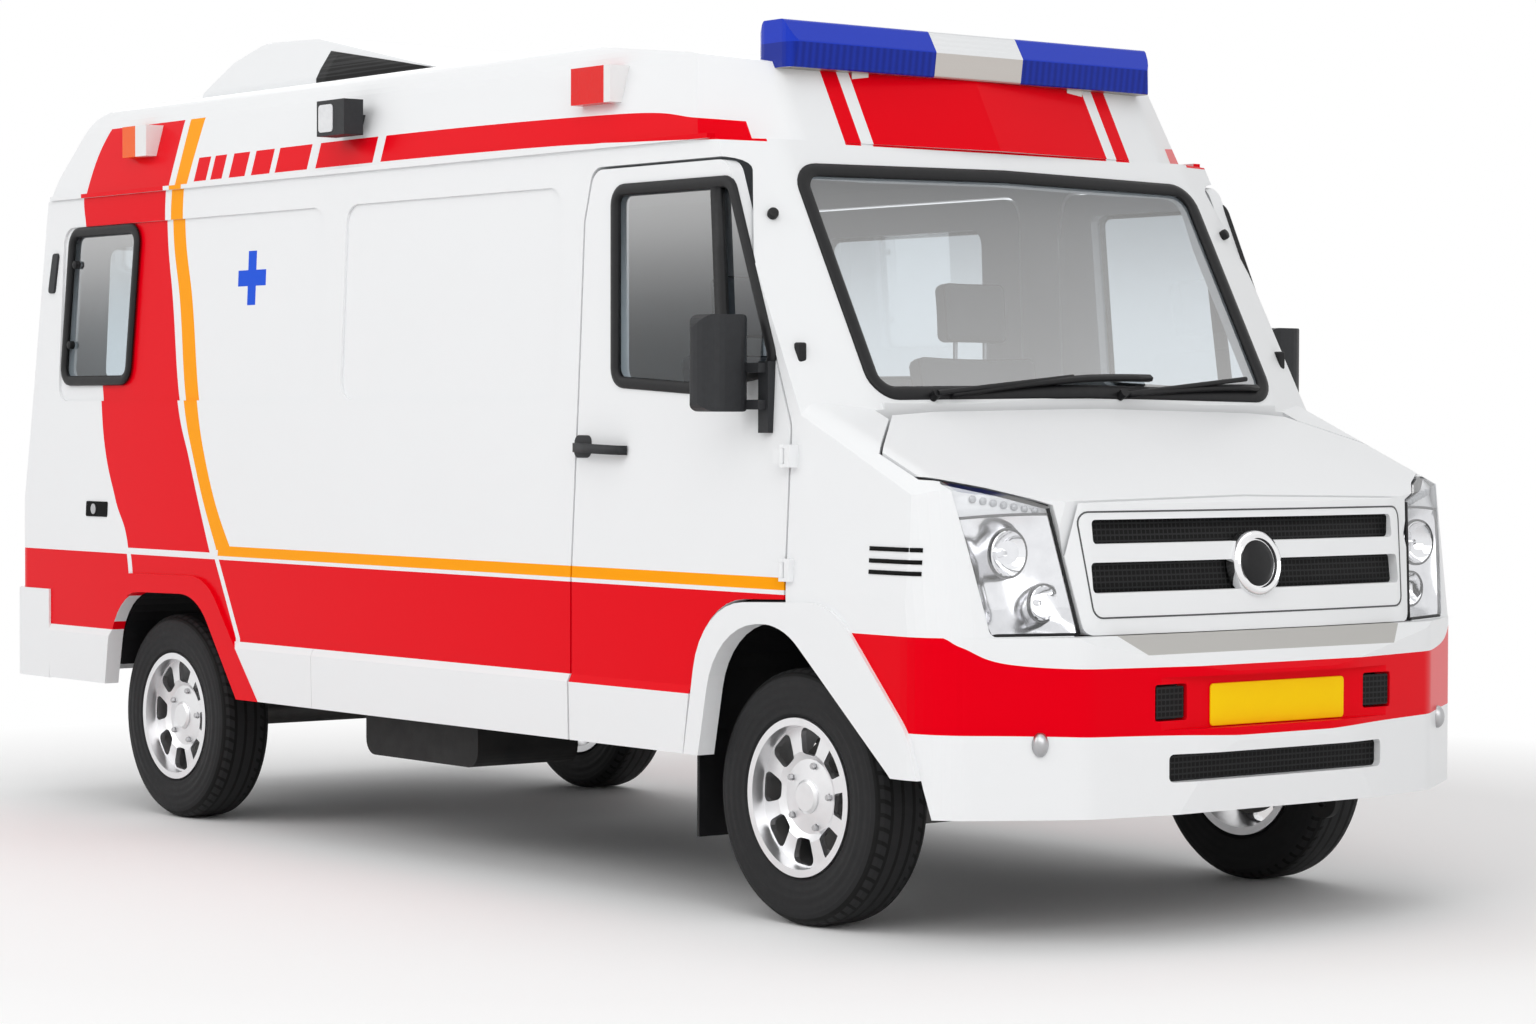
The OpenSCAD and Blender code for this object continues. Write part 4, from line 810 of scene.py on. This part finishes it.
AHEAD = Vector((1.0, 0.0, 0.0))
EDGE = strip(0.0035, -0.006, 0.002)
SHARES = [i / 14 for i in range(15)]
QUARTERS = (0.0, 0.25, 0.5, 0.75, 1.0)
REFLECTORS = (("high", 0.780, 1.012, 0.060), ("low", 0.701, 0.886, 0.046))
SMALL_LAMP = [(-0.004, 0.010), (0.003, 0.009), (0.006, 0.005)]
for label, sign in SIDES:
    rows = [[lamp_point(a, u * strip_foot(a), sign, bowl_depth(a, u)) for a in SHARES] for u in SHARES]
    sheet_piece("lamp_bowl_" + label, rows, M_BOWL, ROOT)
    rows = []
    for u in QUARTERS:
        depth = 0.006 + 0.012 * math.sin(math.pi * u)
        ups = [strip_foot(a) + (STRIP_TOP - strip_foot(a)) * u for a in SHARES]
        rows.append([lamp_point(a, up, sign, depth) for a, up in zip(SHARES, ups)])
    sheet_piece("lamp_strip_" + label, rows, M_STRIP, ROOT)
    for part, y, z, radius in REFLECTORS:
        spot = lamp_at(y, z, sign, 0.034)
        cup = [(0.016, radius), (0.019, radius - 0.003), (0.014, radius - 0.006), (0.000, radius * 0.72),
               (-0.014, radius * 0.42), (-0.018, radius * 0.22), (-0.010, radius * 0.20),
               (0.004, radius * 0.12)]
        rim = [(0.008, radius + 0.005), (0.018, radius + 0.004), (0.017, radius)]
        ending = part + "_" + label
        lathe("reflector_" + ending, cup, spot, AHEAD, M_CHROME, ROOT, 36, False)
        lathe("reflector_rim_" + ending, rim, spot, AHEAD, M_GREY, ROOT, 36, False)
    for k in range(7):
        spot = lamp_at(0.700 + 0.026 * k, 1.117 + 0.005 * k, sign, 0.014)
        lathe("strip_lamp_" + str(k) + "_" + label, SMALL_LAMP, spot, AHEAD, M_DOT, ROOT, 16)
    bezel = [lamp_point(0.0, i / 16, sign, -0.001) for i in range(17)]
    sill = [lamp_point(i / 12, 0.0, sign, -0.001) for i in range(13)]
    line = [lamp_point(i / 12, strip_foot(i / 12), sign, 0.004) for i in range(13)]
    for part, edge, finish in (("bezel", bezel, M_BLACK), ("sill", sill, M_BLACK), ("line", line, M_GREY)):
        sweep("lamp_" + part + "_" + label, edge, [AHEAD] * len(edge), EDGE, finish, ROOT,
              closed=False)

# Grille: dark mesh behind the slots, a thin seam round them and a plain ring in the middle
grille_tree = faces_of("grille")
NOSE_ANGLE = math.radians(7.3)
NOSE_OUT = Vector((math.cos(NOSE_ANGLE), 0, math.sin(NOSE_ANGLE)))
GRILLE_BAR_Z = 1.006
GRILLE_MESH_Z = (0.885, 0.945, 1.00, 1.05, 1.108)
SEAM_LOW, SEAM_TOP, SEAM_ROUND = 0.842, 1.112, 0.03
SEAM_LOW_HALF, SEAM_TOP_HALF = 0.575, 0.604
RING = [(-0.020, 0.088), (0.006, 0.088), (0.016, 0.083), (0.020, 0.075), (0.016, 0.066), (0.008, 0.063)]
DISC = [(0.004, 0.064), (0.012, 0.058), (0.017, 0.040), (0.019, 0.010)]


def nose_point(y, z, out):
    """A point ahead of the grille by out, on the lean of the nose through the bar across it."""
    rise = z - GRILLE_BAR_Z
    front = from_ahead(grille_tree, y, GRILLE_BAR_Z)
    return front + Vector((out - rise * math.tan(NOSE_ANGLE), 0, rise))


rows = [[nose_point(y * 0.0295, z, -0.030) for y in range(-20, 21)] for z in GRILLE_MESH_Z]
sheet_piece("grille_mesh", rows, M_MESH, ROOT, 0.002)
inner = [0.115 * k for k in range(-4, 5)]
seam_line = [(-SEAM_LOW_HALF, SEAM_LOW, SEAM_ROUND), *((y, SEAM_LOW, 0) for y in inner),
             (SEAM_LOW_HALF, SEAM_LOW, SEAM_ROUND), (SEAM_TOP_HALF, SEAM_TOP, SEAM_ROUND),
             *((-y, SEAM_TOP, 0) for y in inner), (-SEAM_TOP_HALF, SEAM_TOP, SEAM_ROUND)]
seam = [from_ahead(grille_tree, y, z) for y, z in fillet(seam_line, 5)]
sweep("grille_seam", seam, [NOSE_OUT] * len(seam), strip(0.0022, -0.003, 0.0012), M_GREY, ROOT)
ring = nose_point(0.0, 0.970, 0.0)
lathe("grille_ring", RING, ring, NOSE_OUT, M_CHROME, ROOT, 48)
lathe("grille_disc", DISC, ring, NOSE_OUT, M_BLACK, ROOT, 48)

# Bumper: blank plate, vents, fog lamps and lower intake
bumper_tree = faces_of("front_bumper")
FOG_Y, FOG_Z = 0.744, 0.528
FOG_HALF = (0.022, 0.022, 0.032)
PLATE = ((-0.250, 0.558), (0.250, 0.668))
PLATE_ON_Z = 0.640
BUMPER_VENT = ((0.336, 0.584), (0.434, 0.666))
INTAKE = ((-0.396, 0.420), (0.396, 0.492))
INTAKE_X = 2.590
plate_x = from_ahead(bumper_tree, 0.0, PLATE_ON_Z).x
cross_plate("front_plate", round_box(*PLATE, 0.010), plate_x + 0.001, plate_x + 0.006, 1, M_YELLOW, ROOT,
            0.002)
for label, sign in SIDES:
    vent = round_box(*BUMPER_VENT, 0.006)
    cross_plate("bumper_vent_" + label, vent, plate_x - 0.012, plate_x - 0.006, sign, M_MESH)
    fog_x = from_ahead(bumper_tree, sign * FOG_Y, FOG_Z).x
    egg("fog_lamp_" + label, (fog_x, sign * FOG_Y, FOG_Z), FOG_HALF, M_STEEL, ROOT)
cross_plate("intake_mesh", round_box(*INTAKE, 0.012), INTAKE_X, INTAKE_X + 0.006, 1, M_MESH)

# Louvres on the fenders: near-black strips of painted shade where their slots are
fender_tree = faces_of("fenders")
LOUVRE_Z = (1.017, 0.986, 0.957)
LOUVRE_HALF = 0.0055
LOUVRE_X = [2.121 + 0.190 * i / 8 for i in range(9)]
for label, sign in SIDES:
    lift = Vector((0, sign * 0.0012, 0))
    for k, z in enumerate(LOUVRE_Z):
        rows = [[from_beside(fender_tree, x, edge_z, sign)[0] + lift for x in LOUVRE_X]
                for edge_z in (z - LOUVRE_HALF, z + LOUVRE_HALF)]
        sheet_piece("louvre_" + str(k) + "_" + label, rows, M_OPENING_SHADE, ROOT, 0.002)

# Roof unit's mesh side, flood lamp lenses, pillar knobs and hinges, and the catches of the rear side windows
pod_tree = faces_of("roof_pod")
POD_X, POD_LONG, POD_Z = -1.300, 0.800, 2.452
POD_HIGH, POD_DROP = 0.128, 0.122
FLOOD = ((-0.556, 2.236), (-0.474, 2.322))
FLOOD_Y = 0.984
PILLAR_OUT = (0.82, 0.33, 0.46)
KNOB_AT, LEAF_AT = (1.559, 0.856, 1.896), (1.746, 0.908, 1.524)
KNOB = [(-0.002, 0.014), (0.010, 0.016), (0.018, 0.014), (0.021, 0.008)]
LEAF = Vector((0.015, 0.012, 0.026))
CATCH = [(-0.014, 0.014), (0.004, 0.014), (0.008, 0.008)]
CATCH_PLACES = ((-2.256, 1.880), (-2.276, 1.600))
for label, sign in SIDES:
    rows = []
    for share in QUARTERS:
        row = []
        for i in range(13):
            z = POD_Z + share * (POD_HIGH - POD_DROP * i / 12)
            place, normal = from_beside(pod_tree, POD_X + POD_LONG * i / 12, z, sign)
            row.append(place + normal * 0.002)
        rows.append(row)
    sheet_piece("pod_mesh_" + label, rows, M_MESH, ROOT, 0.002)
    slab("flood_lens_" + label, round_box(*FLOOD, 0.012, 4), FLOOD_Y, FLOOD_Y + 0.005,
         lambda u, v, w: (u, sign * w, v), M_STRIP, ROOT, 0.002)
    way, knob_at, leaf_at = (Vector((x, sign * y, z)) for x, y, z in (PILLAR_OUT, KNOB_AT, LEAF_AT))
    knob, _ = meet(cab_tree, knob_at + way * 0.2, -way)
    lathe("pillar_knob_" + label, KNOB, knob, way, M_BLACK, ROOT, 20)
    leaf, _ = meet(cab_tree, leaf_at + way * 0.2, -way)
    box_piece("pillar_hinge_" + label, leaf - LEAF, leaf + LEAF, M_BLACK, ROOT, 0.006)
    for k, (x, z) in enumerate(CATCH_PLACES):
        lathe("window_catch_" + str(k) + "_" + label, CATCH, on_side(x, z, sign), (0, sign, 0), M_BLACK, ROOT,
              20)

# Wiper blades lying low on the windscreen: where each starts and ends, as (across, up the screen)
BLADE = [(-0.006, -0.004), (-0.010, 0.012), (0.004, 0.018), (0.010, 0.010), (0.006, -0.004)]
BLADE_ENDS = {"right": ((-0.500, 0.020), (0.260, 0.074)), "left": ((0.150, 0.020), (0.690, 0.052))}
for name, ((y0, up0), (y1, up1)) in BLADE_ENDS.items():
    path = []
    for i in range(13):
        t = i / 12
        path.append(on_screen(y0 + (y1 - y0) * t, up0 + (up1 - up0) * math.sin(t * math.pi / 2), 0.006))
    sweep("wiper_blade_" + name, path, [SCREEN_OUT] * len(path), BLADE, M_BLACK, closed=False)

# Mirror glass on the rear face of each mirror
MIRROR_LOW, MIRROR_TOP = 1.386, 1.604
MIRROR_INNER, MIRROR_OUTER = 0.140, 0.015
for label, sign in SIDES:
    low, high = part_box("mirror_" + label)
    outer = max(abs(low[1]), abs(high[1]))
    face = round_box((outer - MIRROR_INNER, MIRROR_LOW), (outer - MIRROR_OUTER, MIRROR_TOP), 0.02, 4)
    cross_plate("mirror_glass_" + label, face, low[0] - 0.001, low[0] + 0.003, sign, M_CHROME,
                "door_" + label)

# Five nuts on each wheel
NUT = [(0.042, 0.009), (0.056, 0.009), (0.058, 0.007)]
NUT_CIRCLE, NUT_TURN = 0.086, 3
for axle, x in AXLES.items():
    for label, sign in SIDES:
        wheel = "wheel_" + axle + "_" + label
        hub = Vector((x, sign * WHEEL_Y, WHEEL_Z))
        for k in range(5):
            a = math.radians(NUT_TURN + 72 * k)
            spot = hub + Vector((math.cos(a) * NUT_CIRCLE, 0, math.sin(a) * NUT_CIRCLE))
            lathe("nut_" + str(k) + "_" + wheel, NUT, spot, (0, sign, 0), M_STEEL, wheel, 6)

# Seats: crowned pads with drawn-in sides, sewn channels and piping, in the space of the plain solids.
# The rows of PADS are name, place along and up, half sizes, lean in degrees, crown and channels.
SEAT_Y = 0.430
CHANNELS = (-0.42, 0.42)
PADS = (("cushion", (1.196, 0.940), (0.205, 0.238, 0.055), 0.0, 0.014, CHANNELS),
        ("back", (0.968, 1.282), (0.256, 0.238, 0.040), 78.5, 0.011, CHANNELS),
        ("head", (0.913, 1.670), (0.090, 0.124, 0.036), 85.0, 0.006, ()))
DRAWN_IN = 0.030
CHANNEL_WIDE, CHANNEL_DEEP = 0.045, 0.009
PIPING, PIPING_W = 0.0035, 0.62
POST = [(0.0, 0.007), (0.070, 0.007)]
POST_X, POST_APART, POST_Z = 0.911, 0.060, 1.530


class Pad:
    """A stuffed pad in its own frame: u and v run over its face, w through it, each from -1 to 1."""

    def __init__(self, centre, half, lean, crown, channels):
        self.centre = Vector(centre)
        self.half = Vector(half)
        self.turn = Matrix.Rotation(lean, 3, "Y")
        self.crown = crown
        self.channels = channels
        self.round = min(half) * 0.75

    def place(self, u, v, w):
        flat = Vector((u * self.half[0], v * self.half[1], w * self.half[2]))
        core = Vector(max(-h + self.round, min(h - self.round, c)) for c, h in zip(flat, self.half))
        rim = flat - core
        if rim.length > 0:
            flat = core + rim.normalized() * self.round
        flat.x *= 1.0 - DRAWN_IN * (1.0 - v * v)
        flat.y *= 1.0 - DRAWN_IN * (1.0 - u * u)
        if w > 0:
            swell = (1.0 - u * u) * (1.0 - v * v)
            dip = sum(math.exp(-((v - c) / CHANNEL_WIDE) ** 2) for c in self.channels)
            flat.z += w * (self.crown * swell - CHANNEL_DEEP * dip * (1.0 - u * u))
        return self.centre + self.turn @ flat

    def build(self, name, node):
        work = bmesh.new()
        bmesh.ops.create_cube(work, size=2.0)
        bmesh.ops.subdivide_edges(work, edges=work.edges[:], cuts=23, use_grid_fill=True)
        for vert in work.verts:
            vert.co = self.place(*vert.co)
        mesh = bpy.data.meshes.new(name)
        work.to_mesh(mesh)
        work.free()
        mesh.materials.append(M_SEAT)
        for polygon in mesh.polygons:
            polygon.use_smooth = True
        thing = bpy.data.objects.new(name, mesh)
        bpy.context.scene.collection.objects.link(thing)
        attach(thing, ROOT)
        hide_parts(node)
        path, outs = [], []
        for k in range(80):
            side, t = divmod(k / 20, 1)
            u, v = ((2 * t - 1, -1), (1, 2 * t - 1), (1 - 2 * t, 1), (-1, 1 - 2 * t))[int(side)]
            path.append(self.place(u, v, PIPING_W))
            outs.append(self.turn @ Vector((u, v, 0.6)))
        cord = [(PIPING * math.cos(a * math.pi / 4), PIPING * math.sin(a * math.pi / 4)) for a in range(8)]
        sweep(name + "_piping", path, outs, cord, M_BLACK, ROOT)


for label, sign in SIDES:
    y = SEAT_Y * sign
    for part, (x, z), half, lean, crown, channels in PADS:
        pad = Pad((x, y, z), half, math.radians(lean), crown, channels)
        pad.build("seat_" + part + "_" + label, "seat_" + label)
    for part, k in (("a", -1), ("b", 1)):
        foot = (POST_X, y + POST_APART * k, POST_Z)
        lathe("seat_post_" + part + "_" + label, POST, foot, (0, 0, 1), M_STEEL, ROOT, 16)

# Rear: tail lamps on the corner pillars and a handle on each rear door
TAIL_LENSES = (("stop", 1.02, 1.13, M_RED_LENS), ("turn", 0.93, 1.01, M_AMBER), ("back", 0.85, 0.92, M_STRIP))
TAIL_INNER, TAIL_OUTER = 0.868, 0.940
PULL = [(1.10, 0.0), (1.11, 0.025), (1.16, 0.032), (1.24, 0.032), (1.29, 0.025), (1.30, 0.0)]
PULL_Y = 0.075
for label, sign in SIDES:
    for part, z0, z1, finish in TAIL_LENSES:
        lens = round_box((TAIL_INNER, z0), (TAIL_OUTER, z1), 0.012, 4)
        slab("tail_" + part + "_" + label, lens, -0.002, 0.014, lambda u, v, w: on_rear(sign * u, v, w),
             finish, ROOT, 0.004)
    pull = [on_rear(sign * PULL_Y, z, out) for z, out in PULL]
    sweep("rear_handle_" + label, pull, [Vector((0, 1, 0))] * len(pull), strip(0.008, -0.012, 0.012), M_DARK,
          "rear_door_" + label, closed=False)

# Floor, light and camera
FLOOR_REACH = 60.0
FLOOR_WHITE_FROM, FLOOR_WHITE_FADE = 3.2, 2.0


def background_seen(tree):
    """1 for the rays that see the white background: straight from the camera, mirrored or through glass."""
    rays = tree.nodes.new("ShaderNodeLightPath").outputs
    seen = Value(tree, rays["Is Camera Ray"]) + Value(tree, rays["Is Glossy Ray"])
    return (seen + Value(tree, rays["Is Transmission Ray"])).math("MINIMUM", 1.0)


def studio_floor():
    """A flat pale floor that runs out into white, with the object's shadow near it."""
    corners = [(-1, -1), (1, -1), (1, 1), (-1, 1)]
    mesh = bpy.data.meshes.new("studio_floor")
    mesh.from_pydata([(FLOOR_REACH * u, FLOOR_REACH * v, 0) for u, v in corners], [], [(0, 1, 2, 3)])
    thing = bpy.data.objects.new("studio_floor", mesh)
    bpy.context.scene.collection.objects.link(thing)
    mat = Material("studio_paper", Roughness=0.9)
    mat.link(mat.mix(mat.noise(0.3), (0.93, 0.93, 0.93), (0.95, 0.95, 0.95)), "Base Color")
    seen = background_seen(mat.tree)
    away = (mat.x * mat.x + mat.y * mat.y).math("SQRT") - FLOOR_WHITE_FROM
    far_off = (away / FLOOR_WHITE_FADE).clamp()
    glow = mat.tree.nodes.new("ShaderNodeEmission")
    glow.inputs["Strength"].default_value = 1.0
    mat.blend(far_off & seen, mat.shader, glow)
    mesh.materials.append(mat.data)


def area_light(name, place, target, size, power):
    data = bpy.data.lights.new(name, "AREA")
    data.shape = "RECTANGLE"
    data.size, data.size_y = size
    data.energy = power
    thing = bpy.data.objects.new(name, data)
    bpy.context.scene.collection.objects.link(thing)
    thing.location = place
    thing.rotation_euler = (Vector(target) - Vector(place)).to_track_quat("-Z", "Y").to_euler()


studio_floor()
area_light("key_light", (7, -7, 8), (0, 0, 1), (8, 8), 290)
area_light("side_light", (-3, -9, 6), (-0.5, 0, 1.2), (9, 5), 250)
area_light("front_light", (9, -1.5, 4), (2.4, 0, 0.9), (6, 4), 110)
area_light("back_light", (-9, 6, 5), (-0.5, 0, 1.2), (8, 5), 190)
area_light("top_light", (0, 0, 9), (0, 0, 0), (9, 9), 130)

world = bpy.data.worlds.new("studio")
bpy.context.scene.world = world
world.use_nodes = True
sky = world.node_tree.nodes["Background"]
sky.inputs[0].default_value = (1.0, 1.0, 1.0, 1.0)
world.node_tree.links.new((background_seen(world.node_tree) * 0.5 + 0.5).socket, sky.inputs[1])

camera_data = bpy.data.cameras.new("photo_view")
camera_data.sensor_width = 36.0
camera_data.lens = 86.0
camera = bpy.data.objects.new("photo_view", camera_data)
bpy.context.scene.collection.objects.link(camera)
YAW, PITCH, ROLL = math.radians(51.65), math.radians(1.44), math.radians(0.15)
look = Vector((-math.sin(YAW) * math.cos(PITCH), math.cos(YAW) * math.cos(PITCH), -math.sin(PITCH)))
camera.location = (9.319, -7.007, 1.345)
camera.rotation_euler = (look.to_track_quat("-Z", "Y").to_matrix() @ Matrix.Rotation(ROLL, 3, "Z")).to_euler()
bpy.context.scene.camera = camera
bpy.context.scene.view_settings.view_transform = "Standard"
